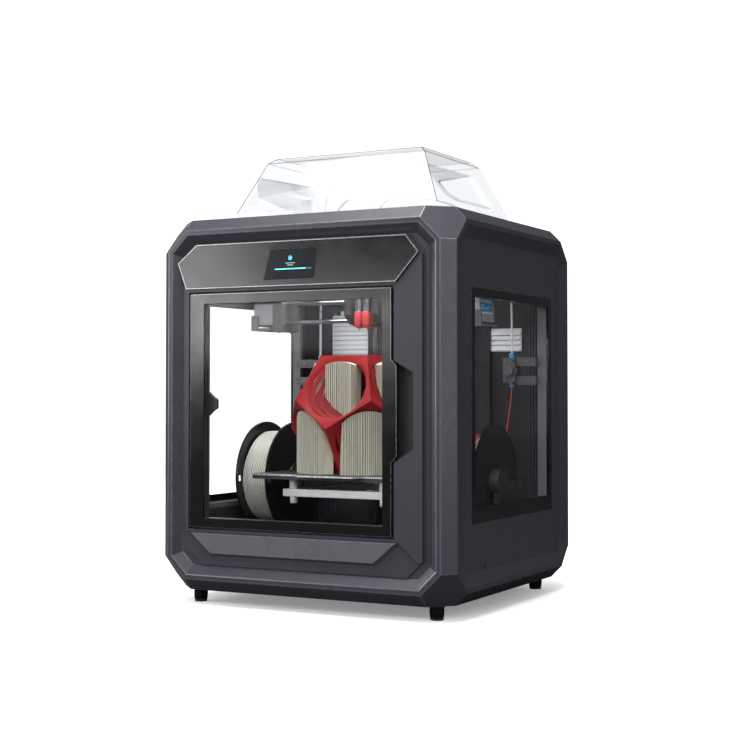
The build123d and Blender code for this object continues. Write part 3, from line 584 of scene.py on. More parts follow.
def cap_screw(form, axis, centre, seat, outward, radius=2.6, height=2.4, finish_number=0):
    """A socket-head screw standing on a seat, with its hexagon socket."""
    top = seat + outward * height
    rim = seat + outward * (height - 0.5)
    profile = [(seat, radius), (rim, radius), (top, radius - 0.45), (top, radius * 0.5),
               (top - outward * height * 0.6, radius * 0.48), (top - outward * height * 0.6, 0)]
    form.turned(axis, centre, profile, 18, finish_number)


# ---- casing ---------------------------------------------------------------------------------
class PRINTER_OT_casing(bpy.types.Operator):
    """Finish the casing's frames, walls and floor"""

    bl_idname = "printer.casing"
    bl_label = "Casing"

    def execute(self, context):
        edge = settings("casing").edge_round
        shell = shell_finish()
        pan = finish("pan_black", (0.008, 0.008, 0.0085), rough=0.5, mottle=0.15, patch=40, grain=0.02)
        # The casing's rounded edges take a lighter, glossier finish, 2.2 times the shell: a painted highlight
        # along the edges.
        painted_edge_highlight = finish("slate_painted_edge_highlight", [2.2 * c for c in settings("casing").shell], rough=0.28, mottle=0.04,
                        patch=60)
        # Lighter finish for the lower cover: painted light for the overhead light its upward-facing front
        # catches.
        cover_painted_light = finish("cover_slate_painted_light", settings("casing").cover, rough=0.32, mottle=0.02, patch=70,
                         grain=0.03)
        for node in ("front_frame", "rear_frame", "side_panel_left", "side_panel_right", "top_frame"):
            dress(node, shell, edge, 3, painted_edge_highlight)
        for node in ("front_panel", "rear_panel"):
            dress(node, shell, edge * 0.5, 2, painted_edge_highlight)
        dress("lower_front_cover", cover_painted_light, edge * 0.5, 2, painted_edge_highlight)
        for node in ("base_pan", "chamber_floor"):
            dress(node, pan, 0.8)
        dress("door_catch", carriage_finish(), 0.8)
        outline = [(173.9, 249.0), (207.5, 271.5), (207.5, 391.5), (173.9, 410.2)]
        inner = [(174.9, 250.9), (206.5, 272.1), (206.5, 390.9), (174.9, 408.4)]
        lining = Form().prism(outline, "y", -256.2, -243.05, [inner])
        lining.prism(outline, "y", -243.9, -243.05)
        dark = finish("pocket_black", (0.008, 0.008, 0.009), rough=0.5, mottle=0.15, patch=30)
        lining.piece("hand_pocket_lining", "casing", [dark], slot="dark_plastic")
        return {"FINISHED"}


class PRINTER_OT_lining(bpy.types.Operator):
    """Line the window openings and the chamber's walls, and add the ribbed strips and inner louvres"""

    bl_idname = "printer.lining"
    bl_label = "Chamber lining"

    def execute(self, context):
        low, high = corners("side_windows")
        jamb = Form()
        ribs = Form()
        for side in SIDES:
            outer, inner = side * 266.2, side * 249.2
            opening = rectangle(low.y + 11.8, high.y - 11.8, low.z + 11.8, high.z - 11.8)
            inside = rectangle(low.y + 13.2, high.y - 13.2, low.z + 13.2, high.z - 13.2)
            flange = rectangle(low.y + 4, high.y - 4, low.z + 4, high.z - 4)
            jamb.prism(opening, "x", *sorted((outer, inner)), holes=[inside])
            jamb.prism(flange, "x", *sorted((side * 250.0, side * 248.8)), holes=[inside])
            for n in range(7):
                y = 186 + 6.6 * n
                ribs.block(*sorted((side * 250.0, side * 247.6)), y, y + 2.4, 108, 600)
        pale = finish("window_lining", settings("casing").jamb, rough=0.45, mottle=0.06, patch=50,
                      grain=0.03)
        jamb.piece("window_lining", "casing", [pale], slot="body_grey", bevel=0.4)
        ribs.piece("wall_ribs", "casing", [liner_finish()], slot="dark_plastic", bevel=0.4)
        back = Form()
        back.prism(rectangle(-233, 233, 100.5, 608), "y", 235.4, 236.9,
                   holes=[rectangle(-202, -130, 431, 524), rectangle(124, 187, 438, 478),
                          oblong(-148, -92, 548, 604, 8), oblong(153, 187, 104, 158, 2)])
        for side in SIDES:
            back.block(*sorted((side * 249.8, side * 248.6)), -236, -176, 101, 600)
            back.block(*sorted((side * 249.8, side * 248.9)), -176, 236, 101, 149)
            back.block(*sorted((side * 249.8, side * 248.9)), -176, 236, 530, 600)
        back.block(-249, 249, -239.6, -238.8, 530, 606)
        back.prism(oblong(-132, 128, 128, 548, 6, 4), "y", 226.0, 234.2)
        for x in (-96, 0, 96):
            for z in (140, 536):
                cap_screw(back, "y", (x, z), 226.2, -1, 3.0, 1.6)
        back.piece("inner_skin", "casing", [liner_finish()], slot="dark_plastic", bevel=0.4)
        vents = Form()
        pitch = 9.2
        for x0, x1, z0, slats in ((-216, -134, 432, 8), (121, 190, 436, 4)):
            z1 = z0 + 6.4 + pitch * slats
            vents.prism(oblong(x0, x1, z0, z1, 2, 3), "y", 233.6, 235.3,
                        [rectangle(x0 + 3, x1 - 3, z0 + 3, z1 - 3)])
            for n in range(slats):
                z = z0 + 3.4 + pitch * n
                vents.add([spot("x", y, h, x) for x in (x0 + 2, x1 - 2)
                           for y, h in ((231.6, z), (232.6, z), (235.0, z + 9.0), (234.0, z + 9.0))],
                          [(0, 1, 2, 3), (4, 5, 6, 7), (0, 1, 5, 4), (1, 2, 6, 5), (2, 3, 7, 6),
                           (3, 0, 4, 7)])
        vents.piece("inner_louvres", "casing", [louvre_finish()], slot="pale_plastic", bevel=0.2)
        return {"FINISHED"}


class PRINTER_OT_feet(bpy.types.Operator):
    """Turn the four feet, each with a rubber pad"""

    bl_idname = "printer.feet"
    bl_label = "Feet"

    def execute(self, context):
        radius = 12.5
        high = corners("feet")[1]
        reach_x, reach_y = high.x - radius, high.y - radius
        feet = Form()
        for sx in SIDES:
            for sy in SIDES:
                centre = (sx * reach_x, sy * reach_y)
                feet.turned("z", centre, [(24, radius), (20, 12.4), (18.6, 11.4), (17.6, 11.4), (16.6, 12.2),
                                          (5.2, 11.3), (4.6, 10.4), (3.9, 10.4)], 40)
                feet.turned("z", centre, [(4.2, 9.8), (3.6, 10.8), (0.8, 10.7), (0.0, 9.9)], 40, 1)
        rubber = finish("foot_rubber", (0.02, 0.02, 0.021), rough=0.8, mottle=0.2, grain=0.06)
        feet.piece("feet_turned", "casing", [gloss_finish(), rubber], ["feet"], "gloss_panel")
        return {"FINISHED"}


class PRINTER_OT_controls(bpy.types.Operator):
    """Finish the control panel, its rim and the touch screen"""

    bl_idname = "printer.controls"
    bl_label = "Control panel"

    def execute(self, context):
        panel = settings("panel")
        dress("control_panel_glass", gloss_finish(), 0.5)
        dress("control_panel_trim", trim_finish(), 0.25)
        front, back = (corner.y for corner in corners("touchscreen"))
        screen = Form()
        screen.prism(rounded([(-65.6, 546.3), (29.6, 547.2), (34.5, 593.8), (-52.7, 593.8)], 2.5), "y", front,
                     back)
        glow = front - 0.02
        screen.prism(oblong(-44.5, 25.5, 561.6, 563.6, 0.9), "y", glow, front + 0.2, finish_number=1)
        screen.prism(oblong(-44.5, 14.0, 561.7, 563.5, 0.8), "y", glow - 0.02, front, finish_number=2)
        dial = (-15.0, 580.5)
        screen.prism(circle(3.6, 28, dial), "y", glow, front + 0.2, [circle(2.7, 28, dial)], finish_number=2)
        screen.prism(circle(1.5, 20, dial), "y", glow, front + 0.2, finish_number=2)
        for x0, x1, z in ((-24.0, -6.0, 571.6), (-20.5, -9.5, 568.2)):
            screen.prism(oblong(x0, x1, z, z + 1.1, 0.5, 3), "y", glow, front + 0.2, finish_number=3)
        display = finish("display_glass", panel.screen, rough=0.3, mottle=0.04, patch=90, specular=0.12)
        finishes = [display, lit_finish("display_track", (0.05, 0.10, 0.12), 0.6),
                    lit_finish("display_bar", panel.progress, 1.0),
                    lit_finish("display_lines", (0.30, 0.42, 0.46), 0.5)]
        screen.piece("touchscreen_display", "casing", finishes, ["touchscreen"], "display")
        return {"FINISHED"}


# ---- door and windows -----------------------------------------------------------------------
DOOR_OUTLINE = [(-214, 132.5), (170, 132.5), (170, 249), (179.5, 259), (179.5, 402), (170, 412), (170, 526),
                (-214, 526)]
DOOR_OPENING = rectangle(-187, 154, 148, 510)


class PRINTER_OT_door(bpy.types.Operator):
    """Build the door's pane, its black border, bright edge, tab and inner frame"""

    bl_idname = "printer.door"
    bl_label = "Door"

    def execute(self, context):
        glass = settings("glass")
        front, back = (corner.y for corner in corners("door_glass"))
        outline = rounded(DOOR_OUTLINE, glass.corner, 5)
        border = Form().prism(outline, "y", front, back, [DOOR_OPENING])
        border.piece("door_border", "door", [gloss_finish()], ["door_glass"], "gloss_panel", bevel=0.5)
        pane = Form().prism(DOOR_OPENING, "y", front + 0.4, back - 0.4)
        pane.piece("door_pane", "door", [clear_finish("door_clear", glass.door_tint, 0.0035)],
                   slot="tinted_glass")
        inner = [(x - 0.9 if x > 100 else x + 0.3, z - 0.9 if z > 500 else (z + 0.3 if z < 140 else z))
                 for x, z in DOOR_OUTLINE]
        edge = Form().prism(outline, "y", front - 0.2, front + 0.3, [rounded(inner, glass.corner, 5)])
        edge.piece("door_edge", "door", [trim_finish()], slot="bright_trim")
        dress("door_frame", carriage_finish(), 0.6)
        return {"FINISHED"}


class PRINTER_OT_windows(bpy.types.Operator):
    """Build the side panes with their printed borders"""

    bl_idname = "printer.windows"
    bl_label = "Side windows"

    def execute(self, context):
        glass = settings("glass")
        low, high = corners("side_windows")
        edge, base = glass.side_border, glass.side_base
        outline = oblong(low.y, high.y, low.z, high.z, 5, 4)
        opening = rectangle(low.y + edge, high.y - edge, low.z + base, high.z - edge)
        border, pane = Form(), Form()
        for side in SIDES:
            inner, outer = side * 266.6, side * high.x
            border.prism(outline, "x", *sorted((inner, outer)), holes=[opening])
            pane.prism(opening, "x", *sorted((inner + side * 0.4, outer - side * 0.4)))
        border.piece("window_borders", "casing", [gloss_finish()], ["side_windows"], "tinted_glass",
                     bevel=0.4)
        pane.piece("window_panes", "casing", [clear_finish("side_clear", glass.side_tint, 0.006, 0.14)],
                   slot="tinted_glass")
        return {"FINISHED"}


# ---- hood -----------------------------------------------------------------------------------
HOOD_LEVELS = [(655.0, 197.5, -146.0, 154.0), (675.0, 197.5, -146.0, 154.0), (766.0, 156.5, -108.0, 119.0),
               (777.0, 144.0, -94.0, 107.0)]
GRIP_OUTLINE = [(-124, 741), (70, 743), (102, 691), (-36, 690), (-75, 696), (-93, 712)]


def hood_ring(level):
    z, x, y0, y1 = level
    return [(-x, y0, z), (x, y0, z), (x, y1, z), (-x, y1, z)]


def painted_edge_line(corner):
    """A dark line up one corner of the cover, just inside its wall: a painted reflection of the dark edge the
    clear corner shows.
    """
    line = [Vector(hood_ring(level)[corner]) for level in HOOD_LEVELS]
    inward = Vector((-math.copysign(1.5, line[0].x), math.copysign(1.5, 4 - line[0].y), 0))
    line = [p + inward for p in line]
    line[3].z -= 1.6
    return line


class PRINTER_OT_hood(bpy.types.Operator):
    """Build the clear cover with its bevelled top and side grips"""

    bl_idname = "printer.hood"
    bl_label = "Clear hood"

    def execute(self, context):
        hood = settings("hood")
        rings = [hood_ring(level) for level in HOOD_LEVELS]
        cover = Form()
        points = [p for ring in rings for p in ring]
        faces = [(12, 13, 14, 15)]
        for r in range(3):
            for n in range(4):
                m = (n + 1) % 4
                if r == 1 and n in (1, 3):
                    continue
                faces.append((r * 4 + n, r * 4 + m, r * 4 + 4 + m, r * 4 + 4 + n))
        cover.add(points, faces)
        (z0, x0, _, _), (z1, x1, _, _) = HOOD_LEVELS[1], HOOD_LEVELS[2]
        lean = (x1 - x0) / (z1 - z0)
        out = Vector((1, 0, -lean)).normalized()
        for side, wall in ((1, (5, 6, 10, 9)), (-1, (7, 4, 8, 11))):
            rim = [Vector((side * (x0 + lean * (z - z0)), y, z)) for y, z in GRIP_OUTLINE]
            deep = hood.grip_depth
            middle = sum(rim, Vector()) / len(rim)
            floor = [middle + (p - middle) * 0.93 - Vector((side * out.x, 0, out.z)) * deep for p in rim]
            loops = [[Vector(points[n]) for n in wall], rim]
            flat = [[Vector((p.y, p.z, 0)) for p in loop] for loop in loops]
            cover.add([p for loop in loops for p in loop], [tuple(t) for t in tessellate_polygon(flat)])
            # the rim's six points were added last, so they count back from the floor's first
            cover.add(floor, [(n - 6, (n + 1) % 6 - 6, (n + 1) % 6, n) for n in range(6)] + [tuple(range(6))])
        clear = clear_finish("hood_clear", settings("glass").hood_tint, 0.022, 0.20, 0.05)
        made = cover.piece("hood_cover", None, [clear], weld=True, crease=20)
        rounding = round_edges(made, hood.edge_round, 4, 24)
        rounding.harden_normals = False
        wall = made.modifiers.new("wall", "SOLIDIFY")
        wall.thickness = hood.wall * MM
        wall.offset = -1.0
        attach(made, "hood")
        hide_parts("hood")
        # Thin grey strands along the cover's corners and top edges: painted reflection standing in for the
        # dark lines its clear edges show.
        painted_edge_lines = Form()
        lines = [painted_edge_line(corner) for corner in range(4)]
        for corner, line in enumerate(lines):
            after = lines[(corner + 1) % 4]
            upright, level = (0.75, 0.5) if corner < 2 else (0.4, 0.3)
            for start, end in zip(line[1:], line[2:]):
                bar(painted_edge_lines, start, end, upright)
            bar(painted_edge_lines, line[3], after[3], level)
            bar(painted_edge_lines, line[2], after[2], level)
        painted_edge_lines.piece("hood_painted_edge_lines", "hood", [finish("painted_edge_grey", (0.05, 0.05, 0.055), rough=0.3, alpha=0.6)],
                    slot="clear_cover")
        rim = Form()
        rim.prism(rectangle(-197.4, 197.4, -145.9, 153.9), "z", 655.05, 657.4,
                  [rectangle(-191.5, 191.5, -140, 148)])
        rim.piece("hood_rim", "hood", [clear_finish("hood_rim_clear", (0.93, 0.935, 0.94), 0.05, 0.4, 0.1)],
                  slot="clear_cover", bevel=0.5)
        return {"FINISHED"}


# ---- motion ---------------------------------------------------------------------------------
class PRINTER_OT_rods(bpy.types.Operator):
    """Finish the guide rods, cross shaft, idlers, belts and pulleys, and cut the lead screw's thread"""

    bl_idname = "printer.rods"
    bl_label = "Rods, screw and belts"

    def execute(self, context):
        steel = steel_finish()
        for node in ("y_rods", "x_rods", "y_drive_shaft", "z_guide_rods"):
            dress(node, steel, 0.25)
        turned = finish("turned_alloy", (0.60, 0.61, 0.63), rough=0.25, metal=1.0, patch=6)
        for node in ("y_idler_left", "y_idler_right", "x_pulley_left", "x_pulley_right"):
            dress(node, turned, 0.25)
        belt = finish("belt_rubber", (0.016, 0.016, 0.017), rough=0.7, mottle=0.2, grain=0.05, grain_size=1.0)
        for node in ("x_belt", "y_belts"):
            dress(node, belt)
        low, high = corners("z_screw")
        centre = ((low.x + high.x) / 2, (low.y + high.y) / 2)
        pitch, steps = settings("motion").thread_pitch, 18
        rings = []
        height = 122.0
        while height < high.z - 2:
            ring = []
            for n in range(steps):
                angle = 2 * math.pi * n / steps
                phase = (height / pitch - n / steps) % 1.0
                radius = 4.0 - 0.75 * (0.5 + 0.5 * math.cos(2 * math.pi * phase))
                ring.append((centre[0] + radius * math.cos(angle), centre[1] + radius * math.sin(angle),
                             height))
            rings.append(ring)
            height += pitch / 5
        screw = Form()
        screw.loft(rings)
        screw.turned("z", centre, [(high.z - 2.4, 3.2), (high.z - 1, 3.2), (high.z, 2.4)], 24)
        screw.rod("z", centre, 2.5, low.z, 98, 20)
        screw.turned("z", centre, [(97, 8.6), (98, 9.5), (107, 9.5), (107.4, 8.7), (109.6, 8.7), (110, 9.5),
                                   (119, 9.5), (120, 8.6), (120, 4.0), (122.5, 3.6)], 36, 1)
        for z in (101.5, 115.5):
            cap_screw(screw, "x", (centre[1], z), centre[0] + 7.6, 1, 2.0, 1.6, 2)
        screw.piece("z_screw_threaded", "z_screw", [steel, turned, screw_finish()], ["z_screw"],
                    "ground_steel")
        return {"FINISHED"}


def stepper(form, low, high, axis):
    """A 42 mm stepper motor in a box: dark laminations between two bright end bells."""
    along, across, other = {"x": (0, 1, 2), "z": (2, 0, 1)}[axis]
    a0, a1 = low[across], high[across]
    b0, b1 = low[other], high[other]
    t0, t1 = low[along], high[along]
    cut = 4.5

    def face(inset):
        u0, u1, v0, v1 = a0 + inset, a1 - inset, b0 + inset, b1 - inset
        return [(u0 + cut, v0), (u1 - cut, v0), (u1, v0 + cut), (u1, v1 - cut),
                (u1 - cut, v1), (u0 + cut, v1), (u0, v1 - cut), (u0, v0 + cut)]

    bell = (t1 - t0) * 0.24
    form.prism(face(0), axis, t0, t0 + bell, finish_number=1)
    form.prism(face(0.7), axis, t0 + bell, t1 - bell)
    form.prism(face(0), axis, t1 - bell, t1, finish_number=1)


class PRINTER_OT_motors(bpy.types.Operator):
    """Build the lift motor, the cross-shaft motor and the light covers of the X motors with a sticker"""

    bl_idname = "printer.motors"
    bl_label = "Motors"

    def execute(self, context):
        motion = settings("motion")
        black = finish("motor_laminations", (0.02, 0.02, 0.022), rough=0.45, mottle=0.15, grain=0.03)
        bell = finish("motor_bell", (0.55, 0.55, 0.56), rough=0.35, metal=0.9, patch=8, grain=0.02)
        motors = Form()
        stepper(motors, (-21, 179, 62), (21, 221, 95.6), "z")
        stepper(motors, (-24, 191, 554), (24, 233, 596), "x")
        motors.block(-20, 20, 222, 232, 596, 611)
        motors.block(-20, 20, 222, 236.9, 611, 623)
        for x in (-12, 12):
            cap_screw(motors, "z", (x, 229), 611, -1, 2.6, 2.2, 2)
        motors.piece("frame_motors_built", "casing", [black, bell, screw_finish()], ["frame_motors"],
                     "motor_black", bevel=0.5)
        cover = finish("motor_cover", motion.cover, rough=0.36, mottle=0.06, patch=30, grain=0.03)
        covers, label = Form(), Form()
        for side in SIDES:
            outline = oblong(-40, 21, 480, 522, 4.5, 5)
            covers.prism(outline, "x", *sorted((side * 187.3, side * 226.4)))
            covers.prism(oblong(-37, 18, 483, 519, 3.5, 4), "x", *sorted((side * 226.0, side * 226.8)))
            for y, z in ((-33, 486), (14, 486)):
                cap_screw(covers, "x", (y, z), side * 226.6, side, 1.7, 0.35, 1)
        covers.piece("x_motor_covers", "gantry", [cover, screw_finish()], ["x_motors"], "motor_black",
                     bevel=0.6)
        label.prism(oblong(-39, 9, 494, 519, 1.2, 3), "x", 226.7, 226.9)
        label.prism(rectangle(-39, 9, 497, 512.5), "x", 226.85, 226.95, finish_number=1)
        shapes = random.Random(4)
        for row, z in enumerate((508.0, 503.2)):
            y = -37.0
            while y < (-12 if row else -20):
                width = shapes.uniform(2.0, 5.5)
                label.prism(oblong(y, y + width, z - 1.3, z + 1.1, 0.8, 2), "x", 226.9, 226.99)
                y += width + shapes.uniform(0.8, 1.6)
        for y in (-9, -3.5, 1.5):
            label.prism(oblong(y, y + 3.4, 504.2, 507.0, 1.0, 2), "x", 226.9, 226.99)
        paper = finish("sticker_white", (0.93, 0.94, 0.95), rough=0.4, mottle=0.03, patch=20)
        band = finish("sticker_band", motion.label, rough=0.4, mottle=0.06, patch=12)
        label.piece("x_motor_sticker", "gantry", [paper, band], slot="motor_black")
        return {"FINISHED"}


class PRINTER_OT_carriages(bpy.types.Operator):
    """Finish the carriages and feeders and fit their screws"""

    bl_idname = "printer.carriages"
    bl_label = "Carriages and feeders"

    def execute(self, context):
        for node, name, shade in (("y_carriages", "carriage_grey", (0.15, 0.15, 0.155)),
                                  ("feeder_housings", "feeder_grey", (0.075, 0.075, 0.08))):
            dress(node, finish(name, shade, rough=0.4, mottle=0.1, grain=0.04), 0.8)
        gear = finish("gear_plastic", (0.10, 0.10, 0.11), rough=0.4, mottle=0.1)
        for node in ("feeder_gear_left", "feeder_gear_right"):
            dress(node, gear, 0.2)
        screws = Form()
        for side in SIDES:
            for x in (176, 200, 224):
                for z in (556, 530):
                    cap_screw(screws, "y", (side * x, z), -42, -1)
            for y in (-30, 12):
                cap_screw(screws, "z", (side * 178, y), 470, -1)
        screws.piece("carriage_screws", "gantry", [screw_finish()], slot="carriage_black")
        bolts = Form()
        for side in SIDES:
            for x in (193, 208):
                for z in (381, 417):
                    cap_screw(bolts, "y", (side * x, z), 148, -1, 2.0, 1.8)
            for z in (381, 415):
                bolts.rod("y", (side * 232, z), 2.4, 150.2, 152, 6)
            bolts.block(*sorted((side * 213.2, side * 215.0)), 150.5, 151.9, 396, 404)
        bolts.piece("feeder_screws", "casing", [screw_finish()], slot="carriage_black")
        collars = Form()
        x, y = 201.0, 160.0
        for side in SIDES:
            for base, out in ((422.0, 1), (377.0, -1)):
                centre = (side * x, y)
                collars.turned("z", centre, [(base, 5.0), (base + out * 2.4, 5.2), (base + out * 3.0, 4.2),
                                             (base + out * 5.0, 4.2), (base + out * 5.6, 5.1),
                                             (base + out * 7.6, 5.1), (base + out * 8.0, 4.6),
                                             (base + out * 8.0, 2.2), (base, 2.2)], 28, closed=True)
        collars.piece("tube_collars", "casing", [collar_finish()], ["tube_couplers"], "coupler_blue")
        return {"FINISHED"}


# ---- print head -----------------------------------------------------------------------------
class PRINTER_OT_head(bpy.types.Operator):
    """Build the print head's vents, finned heat sinks, socks, nozzles and fittings"""

    bl_idname = "printer.head"
    bl_label = "Print head"

    def execute(self, context):
        shell = finish("head_shell_grey", (0.05, 0.05, 0.054), rough=0.38, mottle=0.1, grain=0.04)
        dress("head_shell", shell, 0.9)
        dress("head_fan", carriage_finish(), 0.2)
        alloy = finish("sink_alloy", (0.72, 0.72, 0.74), rough=0.26, metal=1.0, patch=5)
        sinks, socks = Form(), Form()
        for side in SIDES:
            x, y = side * 8.0, -36.0
            sinks.rod("z", (x, y), 3.0, 500, 527, 20)
            for n in range(9):
                z = 502.4 + 2.7 * n
                sinks.prism(oblong(x - 6.2, x + 6.2, y - 7, y + 8.4, 1.4, 3), "z", z, z + 1.1)
            sinks.turned("z", (x, y), [(474.2, 3.6), (473.4, 3.6), (471.4, 1.2), (470.0, 0.5)], 18, 1)
            sinks.turned("z", (x, y), [(527, 4.6), (532, 4.6), (532.6, 3.8), (536, 3.8)], 24)
            rings = []
            for z, w, d in ((473.2, 3.4, 5.2), (474.0, 4.4, 6.4), (478.5, 6.1, 8.1), (480.0, 6.4, 8.4),
                            (499.6, 6.4, 8.4), (501.2, 5.9, 7.9), (501.8, 5.0, 7.0)):
                rings.append([(a, b, z) for a, b in oblong(x - w, x + w, y - d, y + d, 2.2, 4)])
            socks.loft(rings)
            for z in (484, 489, 494):
                socks.prism(oblong(x - 4.4, x + 4.4, z, z + 2.0, 0.9, 3), "y", y - 8.9, y - 8.0)
        silicone = finish("sock_silicone", settings("motion").sock, rough=0.5, mottle=0.12, patch=8,
                          grain=0.05, specular=0.3)
        sinks.piece("hot_ends_built", "head", [alloy, brass_finish()], ["hot_ends"], "hot_end_metal",
                    bevel=0.15)
        socks.piece("socks_moulded", "head", [silicone], ["silicone_socks"], "red_silicone", bevel=0.2)
        trims = Form()
        for n in range(9):
            z = 528.0 + 2.4 * n
            trims.block(-18, 18, -28.0, -26.8, z, z + 1.1)
        for side in SIDES:
            trims.turned("z", (side * 8, -34), [(548, 5.2), (556, 5.2), (556.6, 4.2), (559, 4.2),
                                                (559.6, 5.0), (561, 5.0), (561.4, 4.4)], 24, 1)
            for z in (500, 522):
                cap_screw(trims, "y", (side * 28, z), -46, -1, 2.2, 1.6, 2)
        trims.block(-30, 30, -20, 12, 559.6, 560.4)
        trims.prism(oblong(-26, 26, 519, 551, 5, 4), "y", 13.6, 14.6, [circle(15.9, 36, (0, 535))])
        trims.piece("head_trims", "head", [carriage_finish(), collar_finish(), screw_finish()],
                    slot="dark_plastic", bevel=0.2)
        return {"FINISHED"}


# ---- bed ------------------------------------------------------------------------------------
class PRINTER_OT_bed(bpy.types.Operator):
    """Build the coated plate with its bright edge, the heated bed, its frame, posts and thumb nuts"""

    bl_idname = "printer.bed"
    bl_label = "Bed"

    def execute(self, context):
        bed = settings("bed")
        coating = finish("plate_coating", bed.coating, rough=0.5, mottle=0.12, patch=16, grain=0.12,
                         grain_size=1.1)
        metal = bed_metal_finish()
        outline = [(-157, -157), (-66, -157), (-54, -175), (54, -175), (66, -157), (157, -157), (157, 103),
                   (-157, 103)]
        plate = Form()
        plate.prism(rounded(outline, 3.5, 4), "z", 216.0, 218.8)
        inner = [(-155.4, -155.4), (-65.0, -155.4), (-53.2, -173.4), (53.2, -173.4), (65.0, -155.4),
                 (155.4, -155.4), (155.4, 101.4), (-155.4, 101.4)]
        plate.prism(rounded(inner, 3.0, 4), "z", 218.7, 219.0, finish_number=1)
        bright = finish("plate_edge", (0.80, 0.81, 0.82), rough=0.25, metal=0.5, patch=20)
        plate.piece("build_plate_coated", "bed", [bright, coating], ["build_plate"], "plate_sheet", bevel=0.4)
        dark = finish("heater_underside", (0.05, 0.05, 0.052), rough=0.5, mottle=0.15)
        dress("heated_bed", dark, 0.5)
        dress("bed_frame", metal, 1.2, 3)
        mounts = Form()
        for sx in SIDES:
            for y in (-128, 76):
                centre = (sx * 88, y)
                mounts.turned("z", centre, [(193, 6.4), (193.6, 7.4), (199, 7.5), (204, 7.5), (209.4, 7.0),
                                            (210, 6.4)], 32)
                ribbed = []
                for z, inset in ((168.0, 0.7), (169.0, 0.0), (178.6, 0.0), (180.0, 0.5)):
                    ring = []
                    for n in range(48):
                        angle = 2 * math.pi * n / 48
                        radius = 6.4 - inset - (0.45 if n % 4 < 2 else 0.0)
                        ring.append((centre[0] + radius * math.cos(angle),
                                     centre[1] + radius * math.sin(angle), z))
                    ribbed.append(ring)
                mounts.loft(ribbed)
                for dx in (-11.5, 11.5):
                    cap_screw(mounts, "z", (centre[0] + dx * 0.55, centre[1] + 7.0), 180, -1, 2.2, 2.4, 1)
        mounts.piece("bed_mounts_turned", "bed", [metal, screw_finish()], ["bed_mounts"], "screw_steel")
        cables = Form()
        for n, x in enumerate((40.0, 44.5, 49.0)):
            cables.rod("y", (x, 206.4), 1.8, 60 - n, 160 + n, 14)
        cables.block(34, 55, 150, 162, 193, 209.5)
        cables.piece("bed_cables", "bed", [carriage_finish()], slot="dark_plastic")
        return {"FINISHED"}


# ---- sample print ---------------------------------------------------------------------------
def cage_directions():
    """Face directions of a twelve-sided form that stands on a face, one upper face to the front."""
    rise = math.atan2(1, 2)
    out = [Vector((0, 0, 1)), Vector((0, 0, -1))]
    for n in range(5):
        for lift, start in ((rise, -90), (-rise, -54)):
            a = math.radians(start + 72 * n)
            out.append(Vector((math.cos(a) * math.cos(lift), math.sin(a) * math.cos(lift), math.sin(lift))))
    return out


def face_corners(direction, directions):
    """The five corners of a face at unit distance: where it meets two of its neighbours."""
    near = sorted(directions, key=lambda d: -d.dot(direction))[1:6]
    up = UP if abs(direction.z) < 0.9 else Vector((1, 0, 0))
    u = direction.cross(up).normalized()
    v = direction.cross(u)
    near.sort(key=lambda d: math.atan2(d.dot(v), d.dot(u)))
    corners_of = []
    for n in range(5):
        rows = Matrix((direction, near[n], near[(n + 1) % 5]))
        corners_of.append(rows.inverted() @ Vector((1, 1, 1)))
    return corners_of, u, v


NESTED_SHARE = 0.905  # size of each cage over the one round it
NESTED_WINDOW = 0.555
NESTED_TURN = 5.0  # degrees


def add_cage(form, middle, size, window, wall, turn=0.0, steps=60):
    """A hollow twelve-sided cage with a round window in each face."""
    directions = cage_directions()
    start = len(form.points)
    for direction in directions:
        corner, u, v = face_corners(direction, directions)
        outer, ring = [], []
        for n in range(steps):
            along = n / steps * 5
            k = int(along)
            p = corner[k].lerp(corner[(k + 1) % 5], along - k)
            outer.append(p)
            flat = p - direction
            angle = math.atan2(flat.dot(v), flat.dot(u))
            ring.append(direction + (u * math.cos(angle) + v * math.sin(angle)) * window)
        depth = 1 - wall / size
        lip = [p.lerp(q, 0.55) - direction * 0.008 for p, q in zip(outer, ring)]
        rolled = [q - direction * 0.030 for q in ring]
        inner_ring = [q * depth for q in ring]
        reach = inner_ring[0].length
        inner = [p.normalized() * reach for p in outer]
        rings = [outer, lip, rolled, inner_ring, inner]
        form.loft([[p * size for p in r] for r in rings], caps=False)
    spin = Matrix.Rotation(turn, 4, "Z")
    form.moved(Matrix.Translation(middle) @ spin, start)


def arch_height(offset, radius, centre_height, rise):
    """Height of a window's arch at a sideways offset from its middle."""
    return centre_height + math.sqrt(max(radius ** 2 - offset ** 2, 0)) * rise


def pillar(form, outline, foot, top_of, turn, middle):
    """A support column from a flat outline of (x, y, finish) corners, cut off along the arch above it."""
    start = len(form.points)
    count = len(outline)
    triangles = tessellate_polygon([[Vector((a, b, 0)) for a, b, _ in outline]])
    points = [(a, b, foot) for a, b, _ in outline] + [(a, b, top_of(b)) for a, b, _ in outline]
    walls = [(n, (n + 1) % count, count + (n + 1) % count, count + n) for n in range(count)]
    ends = [tuple(t) for t in triangles] + [tuple(count + n for n in t) for t in triangles]
    form.add(points, walls + ends)
    form.finish_of[-len(walls) - len(ends):-len(ends)] = [shade for _, _, shade in outline]
    form.moved(Matrix.Translation(middle) @ Matrix.Rotation(turn, 4, "Z"), start)


def ribbed_outline(reach, depth, half, dice, curve=0.0):
    """Plan of a support column folded into narrow ribs; the floors of the folds take a darker finish as
    painted shade.
    """
    out = []
    inside = reach - depth
    for way, base, coarse in ((1, reach, 1.0), (-1, inside, 1.7)):
        y = -half
        while y < half - 1.6:
            width = min(dice.uniform(3.0, 4.8) * coarse, half - y)
            x = base - (curve * y * y if way > 0 else 0)
            deep = dice.uniform(1.8, 3.2)
            out += [(x, way * y, 0), (x, way * (y + width * 0.55), 1),
                    (x - way * deep, way * (y + width * 0.62), 1),
                    (x - way * deep, way * (y + width * 0.9), 1)]
            y += width
        out.append((base - (curve * half * half if way > 0 else 0), way * half, 0))
    return out


